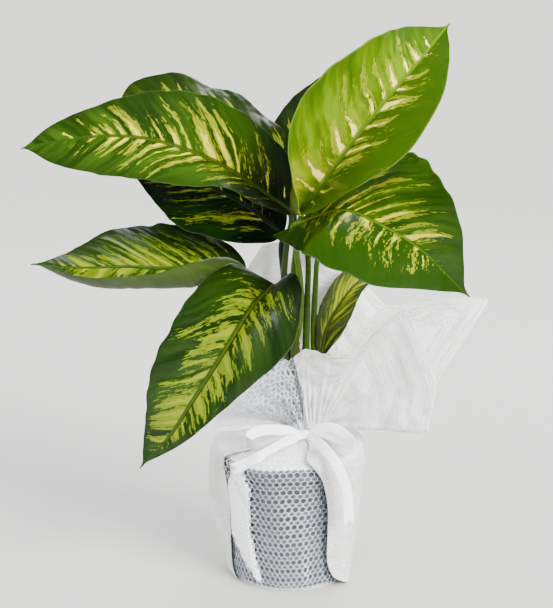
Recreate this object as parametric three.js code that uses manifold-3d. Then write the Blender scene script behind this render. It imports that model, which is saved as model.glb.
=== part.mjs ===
// A dieffenbachia in its nursery pot, wrapped as a gift: a net sheet and a
// nonwoven sheet are gathered above the pot and tied with a satin bow.
// Millimetres, +Z up, origin under the middle of the wrapped pot, viewer at -Y.
import * as THREE from 'three';
import Module from 'manifold-3d';
import { mergeVertices } from 'three/addons/utils/BufferGeometryUtils.js';

const wasm = await Module();
wasm.setup();

// ---------------------------------------------------------------- sizes
const GAP = 0.3; // between pieces that touch
const SHEET = 1.0; // thickness given to both sheets

const POT_FLOOR = 2.6; // height of the pot's underside above the table
const POT_BASE_RADIUS = 56;
const POT_TOP_RADIUS = 66;
const POT_LIP_RADIUS = 68;
const POT_HEIGHT = 127;
const POT_LIP_DROP = 9;
const POT_WALL = 1.8;
const POT_SEGMENTS = 36;
const DRAIN_HOLES = 6;
const DRAIN_RADIUS = 5;
const DRAIN_CIRCLE = 34;

const SOIL_TOP = 113;
const SOIL_CROWN = 3;

const NECK_X = 15; // the neck of the wrap stands a little right of the pot's axis
const NECK_Y = 0;
const NET_NECK_RADIUS = 15.2;
const WRAP_NECK_RADIUS = 18;
const NECK_TOP = 157;

const CANE_SIDES = 8;
const CANE_RING_PITCH = 17; // distance between leaf scars
const CANE_RING_RELIEF = 0.5;
const CANE_FOOT = 42; // the canes are set this high above the table, in soil

const BLADE_THICKNESS = 1.0;
const RIB_DEPTH = 3.2; // the midrib stands out of the underside by this much at the base
const BLADE_ROWS = 14;
const BLADE_COLUMNS = [0, 0.07, 0.38, 0.7, 1]; // from midrib to margin
const STALK_SIDES = 7;
const STALK_STEPS = 8;
const STALK_REACH = 5; // the stalk runs on under the blade by this much
const TIP_TAPER = 0.03; // share of the length over which the tip draws in

const RIBBON_WIDTH = 10.5;
const RIBBON_THICKNESS = 0.8;

// ---------------------------------------------------------------- helpers
const vec = (p) => new THREE.Vector3(p[0], p[1], p[2]);
const radians = (degrees) => (degrees * Math.PI) / 180;
const mix = (a, b, t) => a + (b - a) * t;

// a smooth curve through points that are spread evenly over its parameter
const through = (points) => new THREE.CatmullRomCurve3(points.map(vec), false, 'catmullrom', 0.5);

// a smooth value through numbers that are spread evenly over 0..1
const ramp = (values) => {
  const curve = through(values.map((v) => [v, 0, 0]));
  return (s) => curve.getPoint(Math.min(Math.max(s, 0), 1)).x;
};

// weights of the quadratic through values at s = 0, 0.5 and 1
const weights = (s) => [(1 - s) * (1 - 2 * s), 4 * s * (1 - s), s * (2 * s - 1)];
const quadratic = (three, s) => weights(s).reduce((sum, w, i) => sum + w * three[i], 0);

// linear steps through [place, value] pairs
function steps(table, place, column = 1) {
  let i = 1;
  while (i < table.length - 1 && table[i][0] < place) i++;
  const [a, b] = [table[i - 1], table[i]];
  const t = Math.min(Math.max((place - a[0]) / (b[0] - a[0]), 0), 1);
  return mix(a[column], b[column], t);
}

// a closed mesh from points and triangles, shared points merged and slivers of no area dropped
function closedMesh(points, triangles) {
  const geometry = new THREE.BufferGeometry();
  geometry.setAttribute('position', new THREE.Float32BufferAttribute(points.flatMap((p) => p.toArray()), 3));
  geometry.setIndex(triangles.flat());
  const merged = mergeVertices(geometry, 1e-4);
  const index = merged.getIndex().array;
  const kept = [];
  for (let i = 0; i < index.length; i += 3) {
    const [a, b, c] = [index[i], index[i + 1], index[i + 2]];
    if (a !== b && b !== c && c !== a) kept.push(a, b, c);
  }
  merged.setIndex(kept);
  return merged;
}

function toSolid(geometry) {
  const bare = geometry.clone();
  bare.deleteAttribute('normal');
  bare.deleteAttribute('uv');
  const merged = mergeVertices(bare, 1e-4);
  return new wasm.Manifold(new wasm.Mesh({
    numProp: 3,
    vertProperties: new Float32Array(merged.getAttribute('position').array),
    triVerts: new Uint32Array(merged.getIndex().array),
  }));
}

function fromSolid(solid) {
  const mesh = solid.getMesh();
  const geometry = new THREE.BufferGeometry();
  geometry.setAttribute('position', new THREE.BufferAttribute(new Float32Array(mesh.vertProperties), 3));
  geometry.setIndex(new THREE.BufferAttribute(new Uint32Array(mesh.triVerts), 1));
  return geometry;
}

const joined = (geometries) => geometries.map(toSolid).reduce((a, b) => a.add(b));

// the main body of a solid, without the scraps that trimming leaves or bubbles inside it
const mainBody = (solid) => solid.decompose().sort((a, b) => b.volume() - a.volume())[0];

// a sheet of some thickness over a grid of points; rows run along i, columns along j.
// above and below give how far its two faces lie from the grid, along the grid's normal.
function sheet(grid, above, below, wrapsRound = false) {
  const rows = grid.length;
  const columns = grid[0].length;
  const at = (i, j) => {
    const row = grid[Math.min(Math.max(i, 0), rows - 1)];
    return row[wrapsRound ? (j + columns) % columns : Math.min(Math.max(j, 0), columns - 1)];
  };
  const upper = [];
  const lower = [];
  for (let i = 0; i < rows; i++) {
    for (let j = 0; j < columns; j++) {
      const along = at(i + 1, j).clone().sub(at(i - 1, j));
      const across = at(i, j + 1).clone().sub(at(i, j - 1));
      const normal = along.cross(across).normalize();
      upper.push(at(i, j).clone().addScaledVector(normal, above(i, j)));
      lower.push(at(i, j).clone().addScaledVector(normal, -below(i, j)));
    }
  }
  const points = [...upper, ...lower];
  const id = (i, j) => i * columns + (j % columns);
  const under = rows * columns;
  const triangles = [];
  const lastColumn = wrapsRound ? columns : columns - 1;
  for (let i = 0; i < rows - 1; i++) {
    for (let j = 0; j < lastColumn; j++) {
      const [a, b, c, d] = [id(i, j), id(i + 1, j), id(i + 1, j + 1), id(i, j + 1)];
      triangles.push([a, b, c], [a, c, d]);
      triangles.push([under + a, under + c, under + b], [under + a, under + d, under + c]);
    }
  }
  const rim = (a, b) => triangles.push([a, under + b, b], [a, under + a, under + b]);
  for (let j = 0; j < lastColumn; j++) {
    rim(id(0, j + 1), id(0, j));
    rim(id(rows - 1, j), id(rows - 1, j + 1));
  }
  if (!wrapsRound) {
    for (let i = 0; i < rows - 1; i++) {
      rim(id(i, 0), id(i + 1, 0));
      rim(id(i + 1, columns - 1), id(i, columns - 1));
    }
  }
  return closedMesh(points, triangles);
}

// a round rod along a curve, its radius given along 0..1, with flat ends
function rod(curve, radius, sides, count) {
  const points = [];
  const triangles = [];
  let side = new THREE.Vector3(0, 1, 0);
  for (let i = 0; i <= count; i++) {
    const s = i / count;
    const tangent = curve.getTangent(s);
    side = side.clone().addScaledVector(tangent, -side.dot(tangent)).normalize();
    const other = tangent.clone().cross(side);
    for (let j = 0; j < sides; j++) {
      const angle = (2 * Math.PI * j) / sides;
      const out = side.clone().multiplyScalar(Math.cos(angle)).addScaledVector(other, Math.sin(angle));
      points.push(curve.getPoint(s).addScaledVector(out, radius(s)));
    }
  }
  for (let i = 0; i < count; i++) {
    for (let j = 0; j < sides; j++) {
      const [a, d] = [i * sides + j, i * sides + ((j + 1) % sides)];
      triangles.push([a, d, d + sides], [a, d + sides, a + sides]);
    }
  }
  const last = count * sides;
  for (let j = 1; j < sides - 1; j++) {
    triangles.push([0, j + 1, j], [last, last + j, last + j + 1]);
  }
  return closedMesh(points, triangles);
}

// ---------------------------------------------------------------- pot and soil
function potGeometry() {
  const top = POT_FLOOR + POT_HEIGHT;
  const profile = [
    [0, POT_FLOOR],
    [POT_BASE_RADIUS, POT_FLOOR],
    [mix(POT_BASE_RADIUS, POT_TOP_RADIUS, 0.93), top - POT_LIP_DROP],
    [POT_LIP_RADIUS, top - POT_LIP_DROP],
    [POT_LIP_RADIUS, top],
    [POT_TOP_RADIUS - POT_WALL, top],
    [POT_BASE_RADIUS - POT_WALL, POT_FLOOR + POT_WALL],
    [0, POT_FLOOR + POT_WALL],
  ];
  const shell = new THREE.LatheGeometry(profile.map(([r, z]) => new THREE.Vector2(r, z)), POT_SEGMENTS);
  shell.rotateX(Math.PI / 2);
  let pot = toSolid(shell);
  for (let i = 0; i < DRAIN_HOLES; i++) {
    const angle = (2 * Math.PI * i) / DRAIN_HOLES;
    const hole = new THREE.CylinderGeometry(DRAIN_RADIUS, DRAIN_RADIUS, 4 * POT_WALL, 8);
    hole.rotateX(Math.PI / 2);
    hole.translate(DRAIN_CIRCLE * Math.cos(angle), DRAIN_CIRCLE * Math.sin(angle), POT_FLOOR);
    pot = pot.subtract(toSolid(hole));
  }
  return fromSolid(pot);
}

// inner radius of the pot at a height, less the gap that the soil keeps
function soilRadius(z) {
  const floor = POT_FLOOR + POT_WALL;
  const share = (z - floor) / (POT_FLOOR + POT_HEIGHT - floor);
  return mix(POT_BASE_RADIUS, POT_TOP_RADIUS, share) - POT_WALL - GAP;
}

function soilGeometry() {
  const floor = POT_FLOOR + POT_WALL + GAP;
  const rings = [[0.001, floor], [soilRadius(floor), floor], [soilRadius(SOIL_TOP), SOIL_TOP]];
  for (const share of [0.7, 0.35, 0.001]) rings.push([share * soilRadius(SOIL_TOP), SOIL_TOP]);
  const points = [];
  const triangles = [];
  rings.forEach(([radius, z], i) => {
    for (let j = 0; j < POT_SEGMENTS; j++) {
      const angle = (2 * Math.PI * j) / POT_SEGMENTS;
      const crumb = i > 2 ? SOIL_CROWN * (0.5 + 0.5 * Math.sin(5 * angle + 2.3 * i) * Math.sin(9 * angle - i)) : 0;
      const height = i === rings.length - 1 ? SOIL_CROWN / 2 : crumb;
      points.push(new THREE.Vector3(radius * Math.cos(angle), radius * Math.sin(angle), z + height));
    }
  });
  for (let i = 0; i < rings.length - 1; i++) {
    for (let j = 0; j < POT_SEGMENTS; j++) {
      const next = (j + 1) % POT_SEGMENTS;
      const [a, d] = [i * POT_SEGMENTS + j, i * POT_SEGMENTS + next];
      triangles.push([a, d, d + POT_SEGMENTS], [a, d + POT_SEGMENTS, a + POT_SEGMENTS]);
    }
  }
  const last = (rings.length - 1) * POT_SEGMENTS;
  for (let j = 1; j < POT_SEGMENTS - 1; j++) triangles.push([0, j + 1, j], [last, last + j, last + j + 1]);
  let soil = toSolid(closedMesh(points, triangles));
  for (const cane of Object.values(CANES)) soil = soil.subtract(toSolid(caneGeometry(cane, GAP)));
  return fromSolid(soil);
}

// ---------------------------------------------------------------- canes
const CANES = {
  cane_main: { radius: 5.2, path: [[8, -1, CANE_FOOT], [8, -1, 105], [8, -1, 168], [5, -1, 230], [2, 0, 292]] },
  cane_middle: { radius: 4.4, path: [[17, 7, CANE_FOOT], [17, 7, 88], [17, 6, 134], [16, 5, 180], [16, 4, 226]] },
  cane_right: { radius: 4.4, path: [[24, -2, CANE_FOOT], [24, -2, 88], [24, -2, 134], [24, -1, 180], [25, 0, 224]] },
};

// a cane with a raised ring at every leaf scar; grown makes it larger all round, for cutting
function caneGeometry(cane, grown = 0) {
  const path = cane.path.map((p) => [...p]);
  path[0][2] -= grown;
  path[path.length - 1][2] += grown;
  const curve = through(path);
  const length = curve.getLength();
  const rings = Math.round(length / CANE_RING_PITCH);
  const radius = (s) => {
    const ring = Math.max(0, Math.cos(2 * Math.PI * rings * s)) ** 3;
    return cane.radius + grown / Math.cos(Math.PI / CANE_SIDES) + CANE_RING_RELIEF * ring;
  };
  return rod(curve, radius, CANE_SIDES, rings * 2);
}

// ---------------------------------------------------------------- leaves
// rib: points along the midrib, evenly spread from base to tip
// face: where the upper side looks at the base, the middle and the tip
// right, left: the two halves, seen from above with the tip up:
//   widths at 0, 1/4, 1/2, 3/4 and 1 of the length, before the ends are rounded off
//   fold: the half's lift from flat at base, middle and tip, in degrees
//   curl: how far it bends on from there to its margin, upwards positive
//   furl: [extra curl at the base, share of the length over which it dies out]
//   wave: [height, count, phase] of the margin's waves; lobe: how far the base reaches back
// stalk: points of the stalk from the cane to just before the blade
const LEAVES = {
  leaf_upper_left: {
    cane: 'cane_main', colour: '#3d7a12',
    rib: [[1, -8, 376], [-37, -22, 407], [-81, -42, 436], [-132, -64, 456], [-182, -82, 461], [-244, -96, 453]],
    face: [[0.6, -0.52, 0.6], [0.5, -0.74, 0.45], [0.09, -0.75, 0.65]],
    right: { widths: [84, 64, 55, 38, 34], lobe: -5, fold: [28, 19, 5], curl: [-6, -10, -12], wave: [2, 3, 0.2] },
    left: { widths: [58, 36, 48, 51, 50], lobe: -2, fold: [33, 23, 0], curl: [-4, -8, -8], wave: [3, 3.5, 0.1] },
    stalk: [[-4, -5, 284], [-6, -8, 314], [-3, -8, 347]],
  },
  leaf_top_back: {
    cane: 'cane_main', colour: '#33700f',
    rib: [[2, 20, 385], [-35, 36, 433], [-81, 54, 461], [-127, 66, 472], [-177, 74, 469]],
    face: [[0.27, -0.83, 0.49], [0.09, -0.67, 0.73], [-0.15, -0.64, 0.76]],
    right: { widths: [34, 48, 58, 60, 66], lobe: 3, fold: [24, -10, 30], curl: [-6, -10, -12], wave: [4, 4, 0.3] },
    left: { widths: [40, 42, 44, 40, 26], lobe: 0, fold: [0, -6, 0], curl: [-4, -8, -8], wave: [3, 3.5, 0.1] },
    stalk: [[5, 7, 284], [7, 11, 320], [5, 15, 355]],
  },
  leaf_left_shaded: {
    cane: 'cane_main', colour: '#1f4d0a',
    rib: [[-8, 4, 353], [-42, 2, 381], [-81, 0, 403], [-123, -4, 423], [-173, -10, 442]],
    face: [[0.45, -0.75, 0.49], [0.34, -0.76, 0.55], [0.35, -0.56, 0.75]],
    right: { widths: [44, 48, 48, 44, 26], lobe: 0, fold: [22, 16, 10], curl: [-6, -10, -12], wave: [3, 3, 0.3] },
    left: { widths: [50, 53, 58, 55, 20], lobe: 0, fold: [12, 7, 10], curl: [-4, -8, -8], wave: [3, 3, 0.1] },
    stalk: [[-2, 6, 262], [-5, 8, 300], [-9, 7, 335]],
  },
  leaf_lower_left: {
    cane: 'cane_main', colour: '#3a6b16',
    rib: [[-44, -8, 320], [-82, -22, 328], [-118, -38, 328], [-158, -55, 333], [-201, -75, 336], [-239, -92, 343]],
    face: [[0.36, -0.55, 0.75], [0.32, -0.46, 0.83], [0.33, -0.39, 0.86]],
    right: { widths: [43, 55, 61, 41, 8], lobe: 1, fold: [20, 4, 3], curl: [-6, -10, -12], wave: [2, 3, 0.3] },
    left: {
      widths: [84, 71, 56, 62, 40], lobe: -3, fold: [-53, -51, -5], curl: [30, 30, 30],
      furl: [270, 1.3], wave: [2, 3, 0.1],
    },
    stalk: [[-3, -1, 232], [-9, -2, 258], [-24, -4, 297]],
  },
  leaf_front_drooping: {
    cane: 'cane_main', colour: '#4c8a14',
    rib: [[-14, -42, 312], [-37, -68, 295], [-62, -92, 260], [-90, -106, 218], [-115, -111, 180], [-141, -110, 151]],
    face: [[-0.25, -0.36, 0.9], [-0.05, -0.94, 0.34], [-0.23, -0.96, 0.17]],
    right: { widths: [84, 62, 57, 40, 20], lobe: -2, fold: [43, 34, 8], curl: [-20, -16, -12], wave: [2, 3, 0.2] },
    left: { widths: [80, 74, 38, 20, 4], lobe: 12, fold: [54, 22, 6], curl: [-30, -24, -12], wave: [2, 3, 0.1] },
    stalk: [[5, -7.5, 232], [3, -14, 268], [-3, -25, 298]],
  },
  leaf_upper_right: {
    cane: 'cane_main', colour: '#6fa818',
    rib: [[11, -16, 380], [29, -42, 407], [56, -58, 450], [91, -60, 495], [121, -52, 529], [147, -36, 559]],
    face: [[-0.62, -0.76, 0.19], [-0.16, -0.98, 0.12], [0.1, -0.92, 0.39]],
    right: { widths: [24, 44, 74, 55, 18], lobe: 0, fold: [45, 45, 40], curl: [10, 8, 4], wave: [2, 3, 0.2] },
    left: {
      widths: [68, 84, 87, 61, 24], lobe: 0, fold: [1, 36, -7], curl: [30, 30, 30],
      furl: [250, 0.45], wave: [2, 3, 0.1],
    },
    stalk: [[2.5, 0, 293], [4, 0, 318], [7, -5, 352]],
  },
  leaf_right_drooping: {
    cane: 'cane_main', colour: '#4f9013',
    rib: [[1, -22, 366], [25, -40, 379], [52, -60, 388], [84, -82, 378], [122, -102, 357], [162, -114, 319]],
    face: [[-0.66, -0.45, 0.6], [-0.29, -0.72, 0.63], [-0.18, -0.98, 0.12]],
    right: { widths: [20, 59, 81, 71, 24], lobe: 26, fold: [-8, 37, 10], curl: [-14, -18, -12], wave: [2, 3, 0.2] },
    left: { widths: [-25, 60, 74, 69, 26], lobe: 4, fold: [-15, 4, 25], curl: [-4, -4, -12], wave: [4, 4, 0.1] },
    stalk: [[10, -5, 272], [10, -12, 307], [5, -18, 345]],
  },
  leaf_back_upright: {
    cane: 'cane_middle', colour: '#275a0c',
    rib: [[10, 44, 371], [17, 60, 409], [29, 68, 449], [47, 75, 483], [68, 81, 513]],
    face: [[-0.22, -0.95, 0.22], [-0.26, -0.92, 0.31], [-0.18, -0.91, 0.38]],
    right: { widths: [46, 50, 50, 42, 25], lobe: 0, fold: [16, 14, 12], curl: [-6, -6, -6], wave: [2, 3, 0.2] },
    left: { widths: [34, 44, 45, 32, 27], lobe: 0, fold: [16, 10, 11], curl: [-6, -6, -6], wave: [2, 3, 0.1] },
    stalk: [[16, 4, 227], [17, 5, 276], [18, 18, 330]],
  },
  leaf_small_low: {
    cane: 'cane_right', colour: '#6b7a2a',
    rib: [[32, -2, 231], [36, 4, 253], [47, 14, 274], [66, 30, 296], [97, 48, 316]],
    face: [[-0.29, -0.91, 0.3], [-0.16, -0.82, 0.54], [0.05, -0.78, 0.62]],
    right: { widths: [14, 22, 19, 14, 14], lobe: 0, fold: [24, 22, 13], curl: [-6, -6, -6], wave: [1, 3, 0.2] },
    left: { widths: [11, 12, 17, 21, 26], lobe: 0, fold: [20, 16, 13], curl: [-6, -6, -6], wave: [1, 3, 0.1] },
    stalkRadius: 3.4,
    stalk: [[27, -4, 176], [30, -5, 196], [31, -4, 214]],
  },
  leaf_back_right: {
    cane: 'cane_right', colour: '#275a0c',
    rib: [[28, 28, 325], [50, 60, 341], [78, 96, 343], [104, 132, 330], [126, 164, 306]],
    face: [[-0.3, -0.3, 0.9], [-0.2, -0.2, 0.95], [0.2, 0.2, 0.95]],
    right: { widths: [42, 44, 44, 37, 22], lobe: 0, fold: [16, 14, 12], curl: [-20, -24, -20], wave: [2, 3, 0.2] },
    left: { widths: [20, 38, 44, 37, 22], lobe: 0, fold: [16, 14, 12], curl: [-20, -24, -20], wave: [2, 3, 0.1] },
    stalk: [[25, 1, 225], [24, 10, 256], [26, 18, 303]],
  },
};

// a point of the blade: s runs from base to tip, t from the midrib (0) to the margin (1)
function bladePoint(leaf, rib, half, sign, s, t) {
  const tangent = rib.getTangent(s);
  const face = new THREE.Vector3();
  weights(s).forEach((w, i) => face.addScaledVector(vec(leaf.face[i]), w));
  face.addScaledVector(tangent, -face.dot(tangent)).normalize();
  const outward = tangent.clone().cross(face).multiplyScalar(sign);
  const rounding = Math.sqrt(Math.max(4 * s * (1 - s), 0)) * (1 - Math.exp(-(1 - s) / TIP_TAPER));
  const width = Math.max(ramp(half.widths)(s) * rounding, 0.5);
  const fold = radians(quadratic(half.fold, s));
  let curl = radians(quadratic(half.curl, s));
  if (half.furl) curl += radians(half.furl[0]) * Math.max(1 - s / half.furl[1], 0) ** 1.25;
  const bend = Math.abs(curl) < 0.001 ? 0.001 : curl;
  const reach = (width / bend) * (Math.sin(fold + bend * t) - Math.sin(fold));
  const [height, count, phase] = half.wave;
  const wave = height * Math.sin(2 * Math.PI * (count * s + phase)) * t ** 2 * Math.sqrt(Math.sin(Math.PI * s) + 1e-9);
  const lift = (width / bend) * (Math.cos(fold) - Math.cos(fold + bend * t)) + wave;
  const back = half.lobe * (1 - s) ** 4 * t ** 1.5;
  return rib.getPoint(s)
    .addScaledVector(outward, reach)
    .addScaledVector(face, lift)
    .addScaledVector(tangent, -back);
}

function leafGeometry(leaf) {
  const rib = through(leaf.rib);
  const grid = [];
  const thickness = [];
  for (let i = 0; i <= BLADE_ROWS; i++) {
    const s = 0.5 - 0.5 * Math.cos((Math.PI * i) / BLADE_ROWS);
    const ribHere = RIB_DEPTH * (1 - s) ** 0.7;
    const right = BLADE_COLUMNS.slice(1).reverse().map((t) => bladePoint(leaf, rib, leaf.right, 1, s, t));
    const left = BLADE_COLUMNS.map((t) => bladePoint(leaf, rib, leaf.left, -1, s, t));
    grid.push([...right, ...left]);
    thickness.push(ribHere);
  }
  const middle = BLADE_COLUMNS.length - 1;
  const below = (i, j) => BLADE_THICKNESS + (j === middle ? thickness[i] : 0);
  const blade = sheet(grid, () => 0, below);
  const base = vec(leaf.rib[0]);
  const inward = rib.getTangent(0);
  const drop = grid[0][middle].clone().sub(base);
  const end = base.clone().add(drop).addScaledVector(inward, STALK_REACH);
  const under = bladeUnderside(leaf, rib).multiplyScalar(0.5 * RIB_DEPTH);
  const stalkPath = [...leaf.stalk, base.clone().add(under).toArray(), end.add(under).toArray()];
  const stalkRadius = (s) => mix(leaf.stalkRadius ?? 4.2, 2.4, Math.min(s * 1.6, 1));
  const stalk = rod(through(stalkPath), stalkRadius, STALK_SIDES, STALK_STEPS);
  const cane = toSolid(caneGeometry(CANES[leaf.cane], GAP));
  return fromSolid(mainBody(joined([blade, stalk]).subtract(cane)));
}

// the way from the upper side down to the underside at the leaf's base
function bladeUnderside(leaf, rib) {
  const tangent = rib.getTangent(0);
  const face = vec(leaf.face[0]);
  return face.addScaledVector(tangent, -face.dot(tangent)).normalize().negate();
}

// ---------------------------------------------------------------- wrapping sheets
// outline of the net round the pot: [radius, height], from the axis to below the neck
const NET_PROFILE = [
  [0.001, 1.7], [40, 1.7], [57, 1.7], [58.6, 5], [60.5, 34], [63.5, 72], [67, 108], [69.9, 120], [69.9, 130],
  [66, 133], [50, 137], [33, 141.5], [19, 146], [NET_NECK_RADIUS, 149.5], [NET_NECK_RADIUS, NECK_TOP],
];
const NET_COLUMNS = 30;
const PLEAT = { from: 206, to: 240, height: 3.5 }; // a doubled band of net at the front left, degrees

// edge of the net's frill, evenly spread round the neck from the right (+X) anticlockwise
const NET_EDGE = [
  [47, -2, 232], [42, 10, 236], [30, 18, 240], [15, 22, 240], [-2, 20, 238], [-18, 10, 232], [-34, 0, 214],
  [-48, -16, 200], [-66, -44, 184], [-54, -62, 207], [-26, -60, 240], [4, -32, 246], [26, -32, 244], [42, -18, 236],
];

const polar = (radius, degrees, z, x = 0, y = 0) => new THREE.Vector3(
  x + radius * Math.cos(radians(degrees)), y + radius * Math.sin(radians(degrees)), z,
);

function netGeometry() {
  const edge = new THREE.CatmullRomCurve3(NET_EDGE.map(vec), true, 'catmullrom', 0.5);
  const grid = NET_PROFILE.map(([radius, z]) => {
    const row = [];
    for (let j = 0; j < NET_COLUMNS; j++) {
      const angle = (360 * j) / NET_COLUMNS;
      const shift = Math.min(Math.max((z - 130) / 20, 0), 1); // the neck stands beside the pot's axis
      const pleated = angle > PLEAT.from && angle < PLEAT.to && z > 4 && z < 132 ? PLEAT.height : 0;
      const gathers = z > 132 ? 0.5 * Math.cos(radians(12 * angle)) : 0;
      row.push(polar(radius + pleated + gathers, angle, z, NECK_X * shift, NECK_Y * shift));
    }
    return row;
  });
  const neck = grid[grid.length - 1];
  for (const v of [0.3, 0.6, 0.82, 1]) {
    grid.push(neck.map((start, j) => {
      const end = edge.getPoint(j / NET_COLUMNS);
      const handle = start.clone().lerp(end, 0.3).add(new THREE.Vector3(0, 0, 14));
      return new THREE.QuadraticBezierCurve3(start, handle, end).getPoint(v);
    }));
  }
  return sheet(grid, () => SHEET / 2, () => SHEET / 2, true);
}

// outline of the nonwoven sheet from under the pot to the neck:
// [radius, height, right hem's angle, left hem's angle], degrees anticlockwise from +X
const WRAP_PROFILE = [
  [59.5, 0.5, -30, 246], [62.8, 3, -36, 241], [66.5, 14, -50, 224], [71, 34, -55, 213], [75, 62, -56, 211],
  [78.5, 92, -58, 208], [80, 118, -64, 206], [78, 136, -70, 205], [71, 144.5, -74, 207], [52, 145.5, -77, 211],
  [34, 146, -80, 216], [24, 147.2, -83, 221], [19, 149.5, -85, 225], [WRAP_NECK_RADIUS, 152.5, -85, 225],
  [WRAP_NECK_RADIUS, NECK_TOP + 0.5, -85, 225],
];
const WRAP_LEAN = -4.5; // the sheet bulges this much more to the left than to the right
const WRAP_COLUMNS = 36;
const HEM_CORNER = 8; // the right hem's bottom corner stands away from the pot by this much

// edge of the flare, evenly spread over the sheet from its right hem round the back to its left hem
const WRAP_EDGE = [
  [3, -40, 238], [14, -46, 250], [38, -54, 245], [60, -60, 245], [109, -75, 297], [143, -60, 218],
  [135, -58, 168], [112, -26, 172], [155, 0, 213], [202, 20, 283], [154, 35, 282], [98, 46, 272],
  [62, 56, 311], [13, 61, 337], [-28, 58, 332], [-51, 48, 297], [-91, 20, 251], [-126, -8, 201],
  [-118, -30, 170], [-81, -48, 166],
];
const FLARE_ROWS = [0.16, 0.36, 0.58, 0.8, 1];
const FLARE_LIFT = 18;

function wrapGeometry() {
  const edge = through(WRAP_EDGE);
  const grid = WRAP_PROFILE.map(([radius, z, rightHem, leftHem]) => {
    const row = [];
    for (let j = 0; j <= WRAP_COLUMNS; j++) {
      const angle = mix(rightHem, leftHem, j / WRAP_COLUMNS);
      const shift = Math.min(Math.max((z - 136) / 12, 0), 1);
      const bulge = Math.sin(Math.PI * Math.min(Math.max(z / 146, 0), 1));
      const folds = 1.1 * bulge * Math.sin(radians(9 * angle)) + 0.6 * shift * Math.cos(radians(14 * angle));
      const corner = HEM_CORNER * Math.max(1 - z / 30, 0) * Math.exp(-((j / 2.5) ** 2));
      row.push(polar(radius + folds + corner, angle, z, WRAP_LEAN * bulge + NECK_X * shift, NECK_Y * shift));
    }
    return row;
  });
  const neck = grid[grid.length - 1];
  for (const v of FLARE_ROWS) {
    grid.push(neck.map((start, j) => {
      const end = edge.getPoint(j / WRAP_COLUMNS);
      const handle = start.clone().lerp(end, 0.45).add(new THREE.Vector3(0, 0, FLARE_LIFT));
      return new THREE.QuadraticBezierCurve3(start, handle, end).getPoint(v);
    }));
  }
  const side = sheet(grid, () => SHEET / 2, () => SHEET / 2);
  const under = new THREE.CylinderGeometry(WRAP_PROFILE[0][0] + 2, WRAP_PROFILE[0][0] + 2, SHEET, 48);
  under.rotateX(Math.PI / 2);
  under.translate(0, 0, SHEET / 2);
  return fromSolid(joined([side, under]));
}

// ---------------------------------------------------------------- ribbon bow
// middle lines of the loops and tails; the ribbon's width stands along `up`
const BOW = [
  { up: [[0, 0.2, 1], [-0.2, 0.1, 1], [0, 0.3, 1]],
    line: [[12, -25, 154], [-5, -33, 161], [-25, -40, 164], [-40, -49, 161], [-41, -58, 157], [-28, -64, 154],
      [-10, -52, 156], [10, -28, 154]] },
  { up: [[0, 0.2, 1], [0.2, 0.1, 1], [0, 0.3, 1]],
    line: [[18, -25, 154], [28, -32, 162], [42, -40, 166], [57, -48, 159], [62, -58, 154], [53, -66, 152],
      [38, -60, 154], [20, -28, 154]] },
  { up: [[0, 0.5, 0.9], [0.35, 0.2, 0.9], [0.3, 0.1, 0.9]],
    line: [[12, -27, 154], [-8, -58, 156], [-28, -80, 151], [-44, -77, 141], [-58, -73, 134]] },
  { up: [[0, 0.5, 0.9], [0.9, 0.1, 0.5], [1, 0.4, 0]],
    line: [[18, -27, 154], [32, -60, 153], [46, -81, 139], [55, -78, 112], [58, -73, 75]] },
];
const KNOT = { x: 15, y: -24.5, z: 154, width: 11, depth: 8, height: 10 };
const BAND_RADIUS = 20.2;
const BAND_HEIGHT = 5.6;
const BAND_MIDDLE = 153.6;
const BAND_SEGMENTS = 20;

function ribbonStrip({ line, up }) {
  const curve = through(line);
  const count = line.length * 2;
  const grid = [];
  for (let i = 0; i <= count; i++) {
    const s = i / count;
    const tangent = curve.getTangent(s);
    const across = new THREE.Vector3();
    weights(s).forEach((w, k) => across.addScaledVector(vec(up[k]), w));
    across.addScaledVector(tangent, -across.dot(tangent)).normalize();
    const centre = curve.getPoint(s);
    grid.push([-0.5, 0, 0.5].map((k) => centre.clone().addScaledVector(across, k * RIBBON_WIDTH)));
  }
  return sheet(grid, () => RIBBON_THICKNESS / 2, () => RIBBON_THICKNESS / 2);
}

function bowGeometry() {
  const half = BAND_HEIGHT / 2;
  const ring = new THREE.LatheGeometry([
    new THREE.Vector2(BAND_RADIUS, -half), new THREE.Vector2(BAND_RADIUS + 1.2, -half),
    new THREE.Vector2(BAND_RADIUS + 1.2, half), new THREE.Vector2(BAND_RADIUS, half),
    new THREE.Vector2(BAND_RADIUS, -half),
  ], BAND_SEGMENTS);
  ring.rotateX(Math.PI / 2);
  ring.translate(NECK_X, NECK_Y, BAND_MIDDLE);
  const knot = new THREE.SphereGeometry(0.5, 10, 8);
  knot.scale(KNOT.width, KNOT.depth, KNOT.height);
  knot.translate(KNOT.x, KNOT.y, KNOT.z);
  return fromSolid(joined([ring, knot, ...BOW.map(ribbonStrip)]));
}

// ---------------------------------------------------------------- assembly
const group = new THREE.Group();

function place(name, geometry, color, roughness, metalness = 0) {
  const mesh = new THREE.Mesh(geometry, new THREE.MeshStandardMaterial({ color, roughness, metalness }));
  mesh.name = name;
  group.add(mesh);
}

place('nursery_pot', potGeometry(), '#8d9196', 0.5);
place('potting_soil', soilGeometry(), '#3b2a1e', 0.95);
for (const [name, cane] of Object.entries(CANES)) place(name, caneGeometry(cane), '#5f7a2a', 0.5);
for (const [name, leaf] of Object.entries(LEAVES)) place(name, leafGeometry(leaf), leaf.colour, 0.35);
place('net_sheet', netGeometry(), '#f2f2f0', 0.8);
place('nonwoven_sheet', wrapGeometry(), '#f4f4f2', 0.75);
place('ribbon_bow', bowGeometry(), '#fbfbfb', 0.3);

export default group;
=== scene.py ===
import math

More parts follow.
